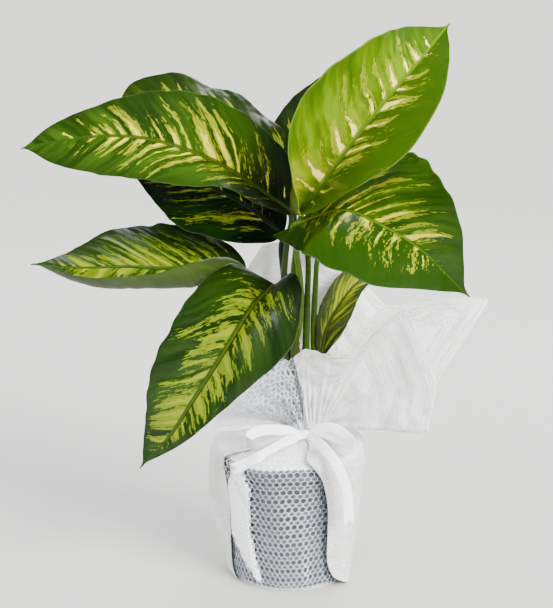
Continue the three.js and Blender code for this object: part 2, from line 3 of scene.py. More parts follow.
import bmesh
import bpy
import numpy as np
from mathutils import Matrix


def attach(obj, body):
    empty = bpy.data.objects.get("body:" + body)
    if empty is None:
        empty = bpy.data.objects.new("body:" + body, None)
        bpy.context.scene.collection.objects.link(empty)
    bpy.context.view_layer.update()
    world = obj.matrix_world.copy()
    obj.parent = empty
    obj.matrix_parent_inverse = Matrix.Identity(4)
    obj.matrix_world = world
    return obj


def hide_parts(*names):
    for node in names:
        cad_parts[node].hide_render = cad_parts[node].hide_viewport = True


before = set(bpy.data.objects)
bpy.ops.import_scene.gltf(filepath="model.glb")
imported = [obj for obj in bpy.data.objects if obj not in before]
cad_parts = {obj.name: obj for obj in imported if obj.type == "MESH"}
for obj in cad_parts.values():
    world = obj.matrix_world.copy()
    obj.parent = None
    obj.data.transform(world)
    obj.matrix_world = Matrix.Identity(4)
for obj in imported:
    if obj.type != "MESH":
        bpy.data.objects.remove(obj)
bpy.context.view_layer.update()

MM = 0.001
DM = 0.01  # millimetres to decimetres, the unit of the flat maps
TURN = 2 * math.pi

# ---- sizes
POT_FLOOR = 2.6
POT_BASE_RADIUS = 56
POT_TOP_RADIUS = 66
POT_LIP_RADIUS = 68
POT_HEIGHT = 127
POT_LIP_DROP = 9
POT_WALL = 1.8
DRAIN_RING = (26, 38)  # inner and outer radius of the drain holes
DRAIN_COUNT = 6
DRAIN_SPAN = 16  # degrees

NECK_X = 15  # the neck of the wrap stands a little right of the pot's axis
NECK_TOP = 157
NET_NECK_RADIUS = 15.2
NET_THICKNESS = 0.35
WRAP_NECK_RADIUS = 18
WRAP_THICKNESS = 0.35
WRAP_BASE = (56.5, 0.9, 0.8)  # radius, upper side and thickness of the sheet under the pot

BLADE_THICKNESS = 0.7
BLADE_ROWS = 130
BLADE_COLUMNS = 56
TIP_TAPER = 0.03
TIP_POINT = 4.5  # how far the drip tip runs past the blade, and how far it hooks down
TIP_HOOK = 1.5
STALK_DROP = 26  # how far below its free part a stalk's foot joins the cane
STALK_FOOT_RADIUS = 4.2
STALK_NECK_RADIUS = 2.8

RIBBON_WIDTH = 10.5
RIBBON_THICKNESS = 0.3
SWALLOWTAIL = 7.0

CANES = {
    "cane_main": (5.2, [[8, -1, 42], [8, -1, 105], [8, -1, 168], [5, -1, 230], [2, 0, 292]]),
    "cane_middle": (4.4, [[17, 7, 42], [17, 7, 88], [17, 6, 134], [16, 5, 180], [16, 4, 226]]),
    "cane_right": (4.4, [[24, -2, 42], [24, -2, 88], [24, -2, 134], [24, -1, 180], [25, 0, 224]]),
}
CANE_NODE = 17  # from one leaf scar to the next


def half(widths, fold, curl, wave, lobe=0, uneven=0.6, furl=(0, 1)):
    """One half of a blade, seen from above with the tip up: half-widths at the quarters, fold from
    flat and further curl in degrees at the base, the middle and the tip, wave of the margin as
    height, count and phase, how far the base reaches back, how uneven the margin is, and extra
    curl at the base with its reach."""
    return dict(widths=widths, fold=fold, curl=curl, wave=wave, lobe=lobe, uneven=uneven,
                furl=furl)


# rib: points along the midrib from base to tip; face: where the upper side looks at the base, the
# middle and the tip; stalk: its points from the cane to just before the blade
LEAVES = {
    "leaf_upper_left": dict(
        rib=[[1, -8, 376], [-37, -22, 407], [-81, -42, 436], [-132, -64, 456], [-182, -82, 461],
             [-244, -96, 453]],
        face=[[0.6, -0.52, 0.6], [0.5, -0.74, 0.45], [0.09, -0.75, 0.65]],
        right=half([84, 64, 55, 38, 34], [28, 19, 5], [-6, -10, -12], [2, 3, 0.2], lobe=-5),
        left=half([58, 36, 48, 51, 50], [33, 23, 0], [-4, -8, -8], [3, 3.5, 0.1], lobe=-2),
        stalk=[[-4, -5, 284], [-6, -8, 314], [-3, -8, 347]],
    ),
    "leaf_top_back": dict(
        rib=[[2, 20, 385], [-35, 36, 433], [-81, 54, 461], [-127, 66, 472], [-177, 74, 469]],
        face=[[0.27, -0.83, 0.49], [0.09, -0.67, 0.73], [-0.15, -0.64, 0.76]],
        right=half([34, 48, 58, 60, 66], [24, -10, 30], [-6, -10, -12], [4, 4, 0.3], lobe=3),
        left=half([40, 42, 44, 40, 26], [0, -6, 0], [-4, -8, -8], [3, 3.5, 0.1]),
        stalk=[[5, 7, 284], [7, 11, 320], [5, 15, 355]],
    ),
    "leaf_left_shaded": dict(
        rib=[[-8, 4, 353], [-42, 2, 381], [-81, 0, 403], [-123, -4, 423], [-173, -10, 442]],
        face=[[0.45, -0.75, 0.49], [0.34, -0.76, 0.55], [0.35, -0.56, 0.75]],
        right=half([44, 48, 48, 44, 26], [22, 16, 10], [-6, -10, -12], [3, 3, 0.3]),
        left=half([50, 53, 58, 55, 20], [12, 7, 10], [-4, -8, -8], [3, 3, 0.1]),
        stalk=[[-2, 6, 262], [-5, 8, 300], [-9, 7, 335]],
    ),
    "leaf_lower_left": dict(
        rib=[[-44, -8, 320], [-82, -22, 328], [-118, -38, 328], [-158, -55, 333], [-201, -75, 336],
             [-239, -92, 343]],
        face=[[0.36, -0.55, 0.75], [0.32, -0.46, 0.83], [0.33, -0.39, 0.86]],
        right=half([43, 55, 61, 41, 8], [20, 4, 3], [-6, -10, -12], [2, 3, 0.3], lobe=1),
        left=half([84, 71, 56, 62, 40], [-53, -51, -5], [30, 30, 30], [2, 3, 0.1], lobe=-3,
                  furl=[270, 1.3]),
        stalk=[[-3, -1, 232], [-9, -2, 258], [-24, -4, 297]],
    ),
    "leaf_front_drooping": dict(
        rib=[[-14, -42, 312], [-37, -68, 295], [-62, -92, 260], [-90, -106, 218],
             [-115, -111, 180], [-141, -110, 151]],
        face=[[-0.25, -0.36, 0.9], [-0.05, -0.94, 0.34], [-0.23, -0.96, 0.17]],
        right=half([84, 62, 57, 40, 20], [43, 34, 8], [-20, -16, -12], [2, 3, 0.2], lobe=-2),
        left=half([80, 74, 38, 20, 4], [54, 22, 6], [-30, -24, -12], [2, 3, 0.1], lobe=12),
        stalk=[[5, -7.5, 232], [3, -14, 268], [-3, -25, 298]],
    ),
    "leaf_upper_right": dict(
        rib=[[11, -16, 380], [29, -42, 407], [56, -58, 450], [91, -60, 495], [121, -52, 529],
             [147, -36, 559]],
        face=[[-0.62, -0.76, 0.19], [-0.16, -0.98, 0.12], [0.1, -0.92, 0.39]],
        right=half([24, 44, 74, 55, 18], [45, 45, 40], [10, 8, 4], [2, 3, 0.2]),
        left=half([68, 84, 87, 61, 24], [1, 36, -7], [30, 30, 30], [2, 3, 0.1], furl=[250, 0.45]),
        stalk=[[2.5, 0, 293], [4, 0, 318], [7, -5, 352]],
    ),
    "leaf_right_drooping": dict(
        rib=[[1, -22, 366], [25, -40, 379], [52, -60, 388], [84, -82, 378], [122, -102, 357],
             [162, -114, 319]],
        face=[[-0.66, -0.45, 0.6], [-0.29, -0.72, 0.63], [-0.18, -0.98, 0.12]],
        right=half([20, 59, 81, 71, 24], [-8, 37, 10], [-14, -18, -12], [2, 3, 0.2], lobe=26),
        left=half([-25, 60, 74, 69, 26], [-15, 4, 25], [-4, -4, -12], [4, 4, 0.1], lobe=4,
                  uneven=1.5),
        stalk=[[10, -5, 272], [10, -12, 307], [5, -18, 345]],
    ),
    "leaf_back_upright": dict(
        rib=[[10, 44, 371], [17, 60, 409], [29, 68, 449], [47, 75, 483], [68, 81, 513]],
        face=[[-0.22, -0.95, 0.22], [-0.26, -0.92, 0.31], [-0.18, -0.91, 0.38]],
        right=half([46, 50, 50, 42, 25], [16, 14, 12], [-6, -6, -6], [2, 3, 0.2]),
        left=half([34, 44, 45, 32, 27], [16, 10, 11], [-6, -6, -6], [2, 3, 0.1]),
        stalk=[[16, 4, 227], [17, 5, 276], [18, 18, 330]],
    ),
    "leaf_small_low": dict(
        rib=[[32, -2, 231], [36, 4, 253], [47, 14, 274], [66, 30, 296], [97, 48, 316]],
        face=[[-0.29, -0.91, 0.3], [-0.16, -0.82, 0.54], [0.05, -0.78, 0.62]],
        right=half([14, 22, 19, 14, 14], [24, 22, 13], [-6, -6, -6], [1, 3, 0.2]),
        left=half([11, 12, 17, 21, 26], [20, 16, 13], [-6, -6, -6], [1, 3, 0.1]),
        stalk=[[27, -4, 176], [30, -5, 196], [31, -4, 214]], foot_radius=3.4,
    ),
    "leaf_back_right": dict(
        rib=[[28, 28, 325], [50, 60, 341], [78, 96, 343], [104, 132, 330], [126, 164, 306]],
        face=[[-0.3, -0.3, 0.9], [-0.2, -0.2, 0.95], [0.2, 0.2, 0.95]],
        right=half([42, 44, 44, 37, 22], [16, 14, 12], [-20, -24, -20], [2, 3, 0.2]),
        left=half([20, 38, 44, 37, 22], [16, 14, 12], [-20, -24, -20], [2, 3, 0.1]),
        stalk=[[25, 1, 225], [24, 10, 256], [26, 18, 303]],
    ),
}

# Markings and colours of each blade; a pair is for its right and its left half.
# pitch: way along the midrib from one tongue of yellow to the next, in decimetres
# fill, reach: share of the pitch that a tongue covers, and of the half that it crosses
# slant: how far the tongues lean to the tip; ragged: how broken their edges are
# feather: how far they run together; cream: how much of the yellow turns cream
# rib: breadth of the midrib's band; start: where along the blade the markings are full
# deep: painted shade, how much the base darkens; lobe: how much the left of the base pales,
# partly its own paler colour and partly painted light that lifts it out of its shade
# shaded: painted shade, how much darker the right half is, and such blades darken to the tip;
# ripple: height of the waves along the side veins
# slot: the record's material; stalk: light and dark colour of the stalk
COMMON_LOOK = dict(
    pitch=(0.2, 0.2), reach=(0.8, 0.8), slant=(0.8, 0.8), ragged=0.8, feather=0.0, cream=0.3,
    rib=1.0, start=0.2, deep=0.3, ripple=0.3, pale=(240, 224, 80), slot="leaf_variegated",
    stalk=((100, 144, 36), (62, 104, 20)))
LOOKS = {
    "leaf_upper_left": dict(
        seed=3, pitch=(0.17, 0.17), fill=(0.6, 0.54), reach=(0.85, 0.86), slant=(0.75, 1.35),
        ragged=1.15, cream=0.38, start=0.36, rib=1.4, deep=0.9,
        dark=(42, 78, 3), mid=(84, 132, 5), yellow=(198, 214, 12), pale=(246, 228, 64),
        stalk=((110, 134, 24), (74, 102, 12))),
    "leaf_top_back": dict(
        seed=11, fill=(0.3, 0.3), reach=(0.95, 0.8), slant=(0.8, 1.0),
        dark=(40, 68, 3), mid=(74, 110, 6), yellow=(182, 204, 12), slot="leaf_dark"),
    # painted shade: this leaf's greens and stalk are darkened, as it lies under leaf_upper_left
    "leaf_left_shaded": dict(
        seed=8, pitch=(0.24, 0.26), fill=(0.12, 0.14), reach=(0.9, 0.95), slant=(0.9, 1.4),
        ragged=0.95, cream=0.4, deep=0.8,
        dark=(10, 42, 3), mid=(24, 72, 6), yellow=(162, 186, 12), pale=(230, 216, 80),
        slot="leaf_dark", stalk=((50, 84, 14), (26, 52, 8))),
    "leaf_lower_left": dict(
        seed=5, pitch=(0.13, 0.2), fill=(0.9, 0.8), reach=(0.9, 0.8), slant=(0.9, 1.1),
        ragged=1.1, feather=0.6, cream=0.1, deep=0.6, ripple=0.25,
        dark=(40, 72, 3), mid=(68, 106, 6), yellow=(140, 172, 4), pale=(238, 224, 60)),
    "leaf_front_drooping": dict(
        seed=9, pitch=(0.13, 0.13), fill=(1.0, 1.0), reach=(0.9, 0.88), ragged=1.4, feather=0.85,
        cream=0.06, rib=1.6,
        dark=(32, 66, 3), mid=(62, 106, 5), yellow=(158, 188, 4), pale=(238, 224, 50),
        stalk=((116, 138, 30), (76, 100, 16))),
    "leaf_upper_right": dict(
        seed=2, pitch=(0.19, 0.17), fill=(0.72, 0.74), reach=(0.6, 0.8), slant=(0.75, 0.35),
        ragged=1.1, cream=0.9, rib=1.9, lobe=1.0, deep=0.0, shaded=0.95, ripple=0.7,
        dark=(92, 146, 3), mid=(190, 240, 3), yellow=(232, 252, 40), pale=(250, 236, 120),
        slot="leaf_young", stalk=((146, 192, 20), (106, 156, 10))),
    "leaf_right_drooping": dict(
        seed=6, pitch=(0.18, 0.15), fill=(0.5, 0.38), reach=(0.68, 0.82), slant=(0.2, 0.95),
        ragged=1.2, cream=0.35, rib=1.3, start=0.06, deep=0.0, shaded=0.85, ripple=0.4,
        dark=(54, 100, 3), mid=(98, 150, 5), yellow=(202, 218, 12), pale=(250, 232, 70),
        stalk=((150, 200, 14), (112, 164, 8))),
    "leaf_back_upright": dict(
        seed=13, fill=(0.4, 0.4), dark=(36, 62, 4), mid=(60, 94, 6), yellow=(182, 204, 12),
        slot="leaf_dark", stalk=((112, 162, 20), (66, 112, 8))),
    "leaf_small_low": dict(
        seed=15, pitch=(0.1, 0.1), fill=(1.1, 1.1), reach=(0.95, 0.95), slant=(2.6, 2.6),
        ragged=1.2, feather=0.7, cream=0.15, start=0.05, ripple=0.15,
        dark=(88, 108, 56), mid=(124, 142, 82), yellow=(192, 220, 12), pale=(240, 226, 80),
        stalk=((128, 150, 50), (92, 116, 30))),
    "leaf_back_right": dict(
        seed=17, fill=(0.45, 0.45), dark=(40, 66, 4), mid=(74, 110, 6), yellow=(186, 208, 12),
        slot="leaf_dark", stalk=((118, 172, 34), (70, 124, 14))),
}


# ---- curves and relief
def unit(v):
    return v / np.maximum(np.linalg.norm(v, axis=-1, keepdims=True), 1e-12)


def square_to(way, v):
    """The part of v that is square to a way, as a unit."""
    return unit(v - way * (v * way).sum(-1, keepdims=True))


def points_at(x, y, z):
    return np.stack(np.broadcast_arrays(x, y, z), -1)


def curve(points, s, closed=False):
    """Point and direction at s (0 to 1) of a smooth curve through points spread evenly over it."""
    p = np.asarray(points, float)
    if closed:
        p = np.vstack([p[-1], p, p[0], p[1]])
    else:
        p = np.vstack([2 * p[0] - p[1], p, 2 * p[-1] - p[-2]])
    spans = len(p) - 3
    f = np.clip(np.asarray(s, float), 0, 1) * spans
    i = np.minimum(f.astype(int), spans - 1)
    u = (f - i)[..., None]
    p0, p1, p2, p3 = p[i], p[i + 1], p[i + 2], p[i + 3]
    v0, v1 = (p2 - p0) / 2, (p3 - p1) / 2
    a = 2 * p1 - 2 * p2 + v0 + v1
    b = -3 * p1 + 3 * p2 - 2 * v0 - v1
    return a * u**3 + b * u**2 + v0 * u + p1, 3 * a * u**2 + 2 * b * u + v0


def path_length(points):
    return np.linalg.norm(np.diff(points, axis=0), axis=1).sum()


def curve_length(points):
    return path_length(curve(points, np.linspace(0, 1, 60))[0])


def travelled(points):
    """Share of the whole way covered at each of a row of points, and the whole way."""
    way = np.concatenate([[0], np.cumsum(np.linalg.norm(np.diff(points, axis=0), axis=1))])
    return way / way[-1], way[-1]


def ramp(values, s):
    """Smooth value through numbers spread evenly over 0 to 1."""
    return curve([[v] for v in values], s)[0][..., 0]


def quadratic(three, s):
    """Value, or point, at s of the quadratic through three at s = 0, 0.5 and 1."""
    a, b, c = (np.asarray(v, float) for v in three)
    w = [(1 - s) * (1 - 2 * s), 4 * s * (1 - s), s * (2 * s - 1)]
    if a.ndim:
        w = [x[..., None] for x in w]
    return a * w[0] + b * w[1] + c * w[2]


def bend(start, handle, end, s):
    """Point at s of the bend from start to end that leans to a handle."""
    return start * (1 - s) ** 2 + handle * 2 * s * (1 - s) + end * s**2


def smooth(x, low, high):
    t = np.clip((x - low) / (high - low), 0, 1)
    return t * t * (3 - 2 * t)


def hump(x, middle, width):
    """1 at the middle, falling away to both sides."""
    return np.exp(-(((x - middle) / width) ** 2))


def waves(seed, finest, coarsest, count):
    """Drawn waves: cosine and sine of the way, phase and length."""
    draw = np.random.default_rng(seed)
    for _ in range(count):
        way, phase = draw.uniform(0, TURN, 2)
        yield math.cos(way), math.sin(way), phase, coarsest * (finest / coarsest) ** draw.random()


def relief(x, y, seed, finest, coarsest, count=14):
    """Soft irregular heights of about -1 to 1 over x and y."""
    total = 0
    for c, s, phase, length in waves(seed, finest, coarsest, count):
        total = total + np.sin(TURN * (x * c + y * s) / length + phase)
    return total / math.sqrt(count)


def creases(x, y, seed, finest, coarsest, count=7):
    """Like relief, but with the sharp ridges of crumpled cloth."""
    total = 0
    for c, s, phase, length in waves(seed, finest, coarsest, count):
        bent = x * c + y * s + 0.12 * length * np.sin((x * s - y * c) / length * 3 + phase)
        total = total + 1 - 2 * np.abs(np.sin(math.pi * bent / length + phase))
    return total / math.sqrt(count)


# ---- meshes
def link(obj):
    bpy.context.scene.collection.objects.link(obj)
    return obj


def add_object(name, bm):
    mesh = bpy.data.meshes.new(name)
    bm.to_mesh(mesh)
    bm.free()
    for polygon in mesh.polygons:
        polygon.use_smooth = True
    return link(bpy.data.objects.new(name, mesh))


def skin(name, rows, columns, place, maps, closed=False, capped=False):
    """A grid laid over a surface. place takes u down the rows and v across the columns, both from
    0 to 1, and returns points in millimetres; maps names UV maps and gives their (u, v) arrays."""
    u, v = np.linspace(0, 1, rows + 1)[:, None], np.linspace(0, 1, columns + 1)[None, :]
    points = place(u, v) * MM
    bm = bmesh.new()
    bmesh.ops.create_grid(bm, x_segments=rows, y_segments=columns, size=0.5)
    where = {}
    for vert in bm.verts:
        where[vert] = spot = round((vert.co.x + 0.5) * rows), round((vert.co.y + 0.5) * columns)
        vert.co = points[spot]
    for key, pair in maps(u, v).items():
        a, b = (np.broadcast_to(line, points.shape[:2]) for line in pair)
        layer = bm.loops.layers.uv.new(key)
        for face in bm.faces:
            for loop in face.loops:
                spot = where[loop.vert]
                loop[layer].uv = (a[spot], b[spot])
    if closed:
        bmesh.ops.remove_doubles(bm, verts=bm.verts, dist=1e-6)
    if capped:
        bmesh.ops.holes_fill(bm, edges=bm.edges, sides=0)
        bmesh.ops.recalc_face_normals(bm, faces=bm.faces)
    return add_object(name, bm)


def tube(name, points, radius, rows, sides):
    """A rod along a smooth curve, closed at both ends; radius takes u along and v round it."""
    centre, way = curve(points, np.linspace(0, 1, rows + 1))
    way = unit(way)
    side = np.empty_like(way)
    last = np.array([0.0, 1.0, 0.0])
    for i, w in enumerate(way):
        last = last - w * (last @ w)
        last = last / np.linalg.norm(last)
        side[i] = last
    other = np.cross(way, side)
    length = path_length(centre)

    def place(u, v):
        angle = TURN * v[..., None]
        size = radius(u, v)[..., None]
        return (centre[:, None] + side[:, None] * np.cos(angle) * size
                + other[:, None] * np.sin(angle) * size)

    def maps(u, v):
        return {"flat": (u * length * DM, v)}

    return skin(name, rows, sides, place, maps, closed=True, capped=True)


def thicken(obj, thickness, offset, other_side=0):
    """Makes a skin solid: inwards at offset -1, both ways at 0, outwards at 1. The new side takes
    the material that comes other_side further on."""
    solid = obj.modifiers.new("Solidify", "SOLIDIFY")
    solid.thickness = thickness * MM
    solid.offset = offset
    solid.material_offset = other_side
    return obj


def dress(obj, slot, node, *materials):
    """Joins a piece to the frame: its body, the node it stands for, its finish. slot is not used.
    """
    for material in materials:
        obj.data.materials.append(material)
    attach(obj, "root")
    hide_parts(node)
    return obj


# ---- shader nodes
def tint(r, g, b, share=1.0):
    """A screen colour of 0 to 255 as the linear colour that the sockets take."""
    linear = (((c / 255 + 0.055) / 1.055) ** 2.4 if c > 10 else c / 255 / 12.92 for c in (r, g, b))
    return tuple(share * c for c in linear) + (1.0,)


def leaf_tint(r, g, b):
    """The same for a leaf's greens, which the bright studio would otherwise bleach."""
    return tint(r, g, b, 0.245)


def blended(colour, other, share):
    """Numbers between those of one colour and, at share 1, another's."""
    return [(1 - share) * a + share * b for a, b in zip(colour, other)]


class Signal:
    """The output of a node, which takes part in sums as a number does."""

    def __init__(self, nodes, socket):
        self.nodes, self.socket = nodes, socket

    def __rsub__(self, other):
        return self.nodes.math("SUBTRACT", other, self)


def sum_of(kind):
    return lambda a, b=0.0: a.nodes.math(kind, a, b)


for sign, sum_kind in {"add": "ADD", "sub": "SUBTRACT", "mul": "MULTIPLY", "truediv": "DIVIDE",
                       "pow": "POWER", "abs": "ABSOLUTE"}.items():
    setattr(Signal, f"__{sign}__", sum_of(sum_kind))


class Nodes:
    """Short ways to place and join the nodes of one tree."""

    def __init__(self, tree):
        self.tree = tree

    def feed(self, socket, value):
        if isinstance(value, Signal):
            self.tree.links.new(value.socket, socket)
        else:
            socket.default_value = value

    def signals(self, sockets):
        return {socket.name: Signal(self, socket) for socket in sockets}

    def node(self, kind, feeds, **settings):
        node = self.tree.nodes.new("ShaderNode" + kind)
        for key, value in settings.items():
            setattr(node, key, value)
        for key, value in feeds.items():
            self.feed(node.inputs[key], value)
        return node

    def put(self, kind, output, feeds, **settings):
        return Signal(self, self.node(kind, feeds, **settings).outputs[output])

    def math(self, operation, a, b=0.0):
        return self.put("Math", 0, {0: a, 1: b}, operation=operation)

    def most(self, a, b):
        return self.math("MAXIMUM", a, b)

    def mix(self, share, a, b):
        return self.put("Mix", 2, {0: share, 6: a, 7: b}, data_type="RGBA")

    def blend(self, share, a, b):
        return self.put("Mix", 0, {0: share, 2: a, 3: b}, data_type="FLOAT")

    def between(self, value, low, high, to_low=0.0, to_high=1.0, kind="SMOOTHSTEP"):
        feeds = {"Value": value, "From Min": low, "From Max": high,
                 "To Min": to_low, "To Max": to_high}
        return self.put("MapRange", "Result", feeds, interpolation_type=kind)

    def vector(self, x, y, z=0.0):
        return self.put("CombineXYZ", 0, {"X": x, "Y": y, "Z": z})

    def split(self, vector):
        return [Signal(self, socket) for socket in self.node("SeparateXYZ", {0: vector}).outputs]

    def noise(self, spot, scale=1.0, detail=2.0, roughness=0.5, distortion=0.0):
        """Soft noise of 0 to 1 at a vector, or at coordinates of its own."""
        vector = self.vector(*spot) if isinstance(spot, tuple) else spot
        feeds = {"Vector": vector, "Scale": scale, "Detail": detail, "Roughness": roughness,
                 "Distortion": distortion}
        return self.put("TexNoise", "Fac", feeds)

    def uv(self, name):
        """The two coordinates of a UV map."""
        return self.split(self.put("UVMap", 0, {}, uv_map=name))[:2]

    def place(self):
        return self.put("TexCoord", "Object", {})

    def bump(self, height, distance, strength=1.0):
        return self.put("Bump", 0, {"Height": height, "Distance": distance, "Strength": strength})

    def group(self, tree, feeds):
        return self.signals(self.node("Group", feeds, node_tree=tree).outputs)


class Material(Nodes):
    """The nodes of a new material with a Principled shader, whose sockets are named with _."""

    def __init__(self, name, **values):
        self.material = bpy.data.materials.new(name)
        self.material.use_nodes = True
        super().__init__(self.material.node_tree)
        self.shade(**values)

    def shade(self, **feeds):
        shader = self.tree.nodes["Principled BSDF"].inputs
        for key, value in feeds.items():
            self.feed(shader[key.replace("_", " ")], value)
        return self.material


# ---- leaf finish
PAIRED = ("Pitch", "Fill", "Reach", "Slant")
SINGLE = ("Seed", "Ragged", "Feather", "Rib", "Start")
VEIN_PITCH = 0.11  # decimetres along the blade from one side vein to the next
FINE_PITCH = 0.019


def leaf_markings():
    """Where a blade is yellow, cream and veined, and where a painted backlit rim lines its margin,
    from its flat map (decimetres from the base and from the midrib) and its share map (share of
    the length, and 0 to 1 from the left margin to the right)."""
    outputs = ["Yellow", "Core", "Rib", "Backlit Rim", "Shade", "Lobe", "Base", "Relief"]
    tree = bpy.data.node_groups.new("leaf markings", "ShaderNodeTree")
    inputs = list(SINGLE) + [f"{key} {side}" for key in PAIRED for side in ("Right", "Left")]
    for names, way in ((inputs, "INPUT"), (outputs, "OUTPUT")):
        for key in names:
            tree.interface.new_socket(name=key, in_out=way, socket_type="NodeSocketFloat")
    n = Nodes(tree)
    given = n.signals(tree.nodes.new("NodeGroupInput").outputs)
    along, across = n.uv("flat")
    share, side_share = n.uv("share")
    right = n.math("GREATER_THAN", side_share, 0.5)
    t = abs(side_share - 0.5) * 2.0
    off = abs(across)
    seed = given["Seed"] + right * 5.3
    pitch, fill, reach, slant = (
        n.blend(right, given[key + " Left"], given[key + " Right"]) for key in PAIRED)

    # one tongue to a pitch, each of its own length and breadth, tapering outwards
    drift = n.noise((along, across, seed), 2.6, 1.0)
    q = along - off * slant - off * off * 0.3 + (drift - 0.5) * 0.16
    sway = n.noise((q * 2.2, seed), 1.0, 1.0)
    phase = q / pitch + sway * 2.4
    which = n.math("FLOOR", phase)
    aside = abs(phase - which - 0.5) * 2.0
    drawn = n.put("TexWhiteNoise", "Color", {"Vector": n.vector(which, seed)})
    long_draw, broad_draw, _ = n.split(drawn)
    length = reach * (long_draw * 0.65 + 0.45)
    taper = n.most(1.0 - t / length, 0.0) ** 0.55
    breadth = fill * (broad_draw * 0.9 + 0.4) * taper

    # torn edges, which soften where the tongues run together
    rough = n.noise((q * 30.0, off * 8.0, seed), 1.0, 4.0, 0.6)
    grain = n.noise((q * 70.0, off * 24.0, seed), 1.0, 2.0, 0.6)
    strands = n.noise((q * 15.0, off * 2.6, seed + 9.0), 1.0, 2.0, 0.5)
    torn = (rough - 0.5) * 2.2 + (grain - 0.5) * 1.4 + (strands - 0.5) * 1.8
    ragged = given["Ragged"] * (n.between(share, 0.4, 0.12) + 1.0)
    apart = aside * (1.0 - given["Feather"] * 0.7)
    over = breadth - (apart + given["Feather"] * 0.3) + torn * ragged
    over = over - n.between(t, length * 0.9, length * 1.4) * 0.9
    start = given["Start"]
    ends = n.between(share, start * 0.15, start) * n.between(share, 0.97, 0.78)
    over = over - (1.0 - ends) * 1.3
    flecks = n.noise((q * 34.0, off * 9.0, seed + 4.0), 1.0, 2.0, 0.6)
    flecks = n.between(flecks, 0.66, 0.69) * n.between(t, length * 1.2, length * 0.85)
    inner = breadth * 0.56 - (aside + t / length * 0.42)

    rib_width = n.between(share, 0.0, 1.0, 0.024, 0.005, "LINEAR") * given["Rib"]
    rib = n.between(off, rib_width + 0.006, rib_width)
    laterals = n.math("SINE", q * (TURN / VEIN_PITCH) + drift * 5.0)
    fine = n.math("SINE", (q + drift * 0.05) * (TURN / FINE_PITCH))
    cells = n.noise((along, across, seed), 90.0, 2.0)
    broad = n.noise((q * 5.0, off * 1.6, seed), 1.0, 2.0)
    away = n.between(off, 0.0, 0.08)
    results = {
        "Yellow": n.most(n.between(over, -0.03, 0.03), flecks * ends),
        "Core": n.between(inner + torn * 0.5, -0.08, 0.1),
        "Rib": rib,
        "Backlit Rim": n.between(t, 0.982, 0.992),
        "Shade": broad * 0.75 + laterals * 0.03 + rough * 0.25,
        # Base marks the base for its painted shade; Lobe marks the left of the base, paled partly
        # by painted light
        "Lobe": n.between(share, 0.36, 0.14) * (n.between(t, 0.05, 0.35) * (1.0 - right)),
        "Base": n.between(share + (drift - 0.5) * 0.2, 0.36, 0.1),
        "Relief": laterals * 0.14 * away + fine * 0.035 * away + cells * 0.05 - rib * 0.4,
    }
    out = tree.nodes.new("NodeGroupOutput").inputs
    for key in outputs:
        n.feed(out[key], results[key])
    return tree


MARKINGS = leaf_markings()


def leaf_materials(name, look):
    """The upper side and the underside of one blade."""
    feeds = {key: float(look[key.lower()]) for key in SINGLE}
    for key in PAIRED:
        feeds[key + " Right"], feeds[key + " Left"] = look[key.lower()]
    dark, mid = look["dark"], look["mid"]
    yellow = leaf_tint(*look["yellow"])

    n = Material(name + "_upper", Specular_IOR_Level=0.16, Coat_Weight=0.12, Coat_Roughness=0.12)
    marks = n.group(MARKINGS, feeds)
    share, side_share = n.uv("share")
    t = abs(side_share - 0.5) * 2.0
    light = n.between(marks["Shade"], 0.34, 0.64) * n.between(t, 1.15, 0.45, 0.25, 1.0)
    # painted shade: shaded darkens the right half, and such blades grow darker towards the tip
    if "shaded" in look:
        light = light * (1.0 - n.math("GREATER_THAN", side_share, 0.5) * look["shaded"])
        light = light * n.between(share, 0.98, 0.7, 0.15, 1.0)
    green = n.mix(light, leaf_tint(*dark), leaf_tint(*mid))
    # painted shade at the base, as strong as deep
    green = n.mix(marks["Base"] * look["deep"], green, leaf_tint(*[0.42 * c for c in dark]))
    # the left of the base pales, partly its own young colour and partly painted light against its
    # shade
    if "lobe" in look:
        green = n.mix(marks["Lobe"] * look["lobe"], green, tint(222, 255, 4, 0.44))
    bright = n.mix(marks["Core"] * look["cream"], yellow, tint(*look["pale"]))
    colour = n.mix(marks["Yellow"], green, bright)
    colour = n.mix(marks["Rib"] * 0.9, colour, leaf_tint(*blended(dark, mid, 0.65)))
    # painted backlit rim: a paler line along the margin
    colour = n.mix(marks["Backlit Rim"] * 0.35, colour, leaf_tint(*[0.6 * c + 80 for c in mid]))
    upper = n.shade(Base_Color=colour, Normal=n.bump(marks["Relief"], 0.0009, 0.7),
                    Roughness=n.between(marks["Shade"], 0.3, 0.7, 0.28, 0.44))

    n = Material(name + "_under", Specular_IOR_Level=0.3)
    marks = n.group(MARKINGS, feeds)
    grey = blended(mid, (118, 138, 74), 0.55)
    green = n.mix(n.between(marks["Shade"], 0.3, 0.7),
                  leaf_tint(*[0.8 * c for c in grey]), leaf_tint(*grey))
    colour = n.mix(marks["Yellow"] * 0.4, green, yellow)
    colour = n.mix(marks["Rib"] * 0.7, colour, leaf_tint(150, 170, 92))
    under = n.shade(Base_Color=colour, Normal=n.bump(marks["Relief"], 0.0007, 0.7),
                    Roughness=n.between(marks["Shade"], 0.3, 0.7, 0.42, 0.55))
    return upper, under


def stalk_material(name, light, dark):
    """A smooth stalk with faint streaks along it."""
    n = Material(name, Specular_IOR_Level=0.25)
    along, turn = n.uv("flat")
    streak = n.noise((along * 1.2, turn * 14.0), 1.0, 3.0)
    mottle = n.noise(n.place(), 160.0, 3.0)
    share = n.between(streak * 0.6 + mottle * 0.4, 0.32, 0.68)
    return n.shade(Base_Color=n.mix(share, leaf_tint(*dark), leaf_tint(*light)),
                   Roughness=n.between(mottle, 0.2, 0.8, 0.3, 0.45),
                   Normal=n.bump(streak, 0.0004, 0.5))


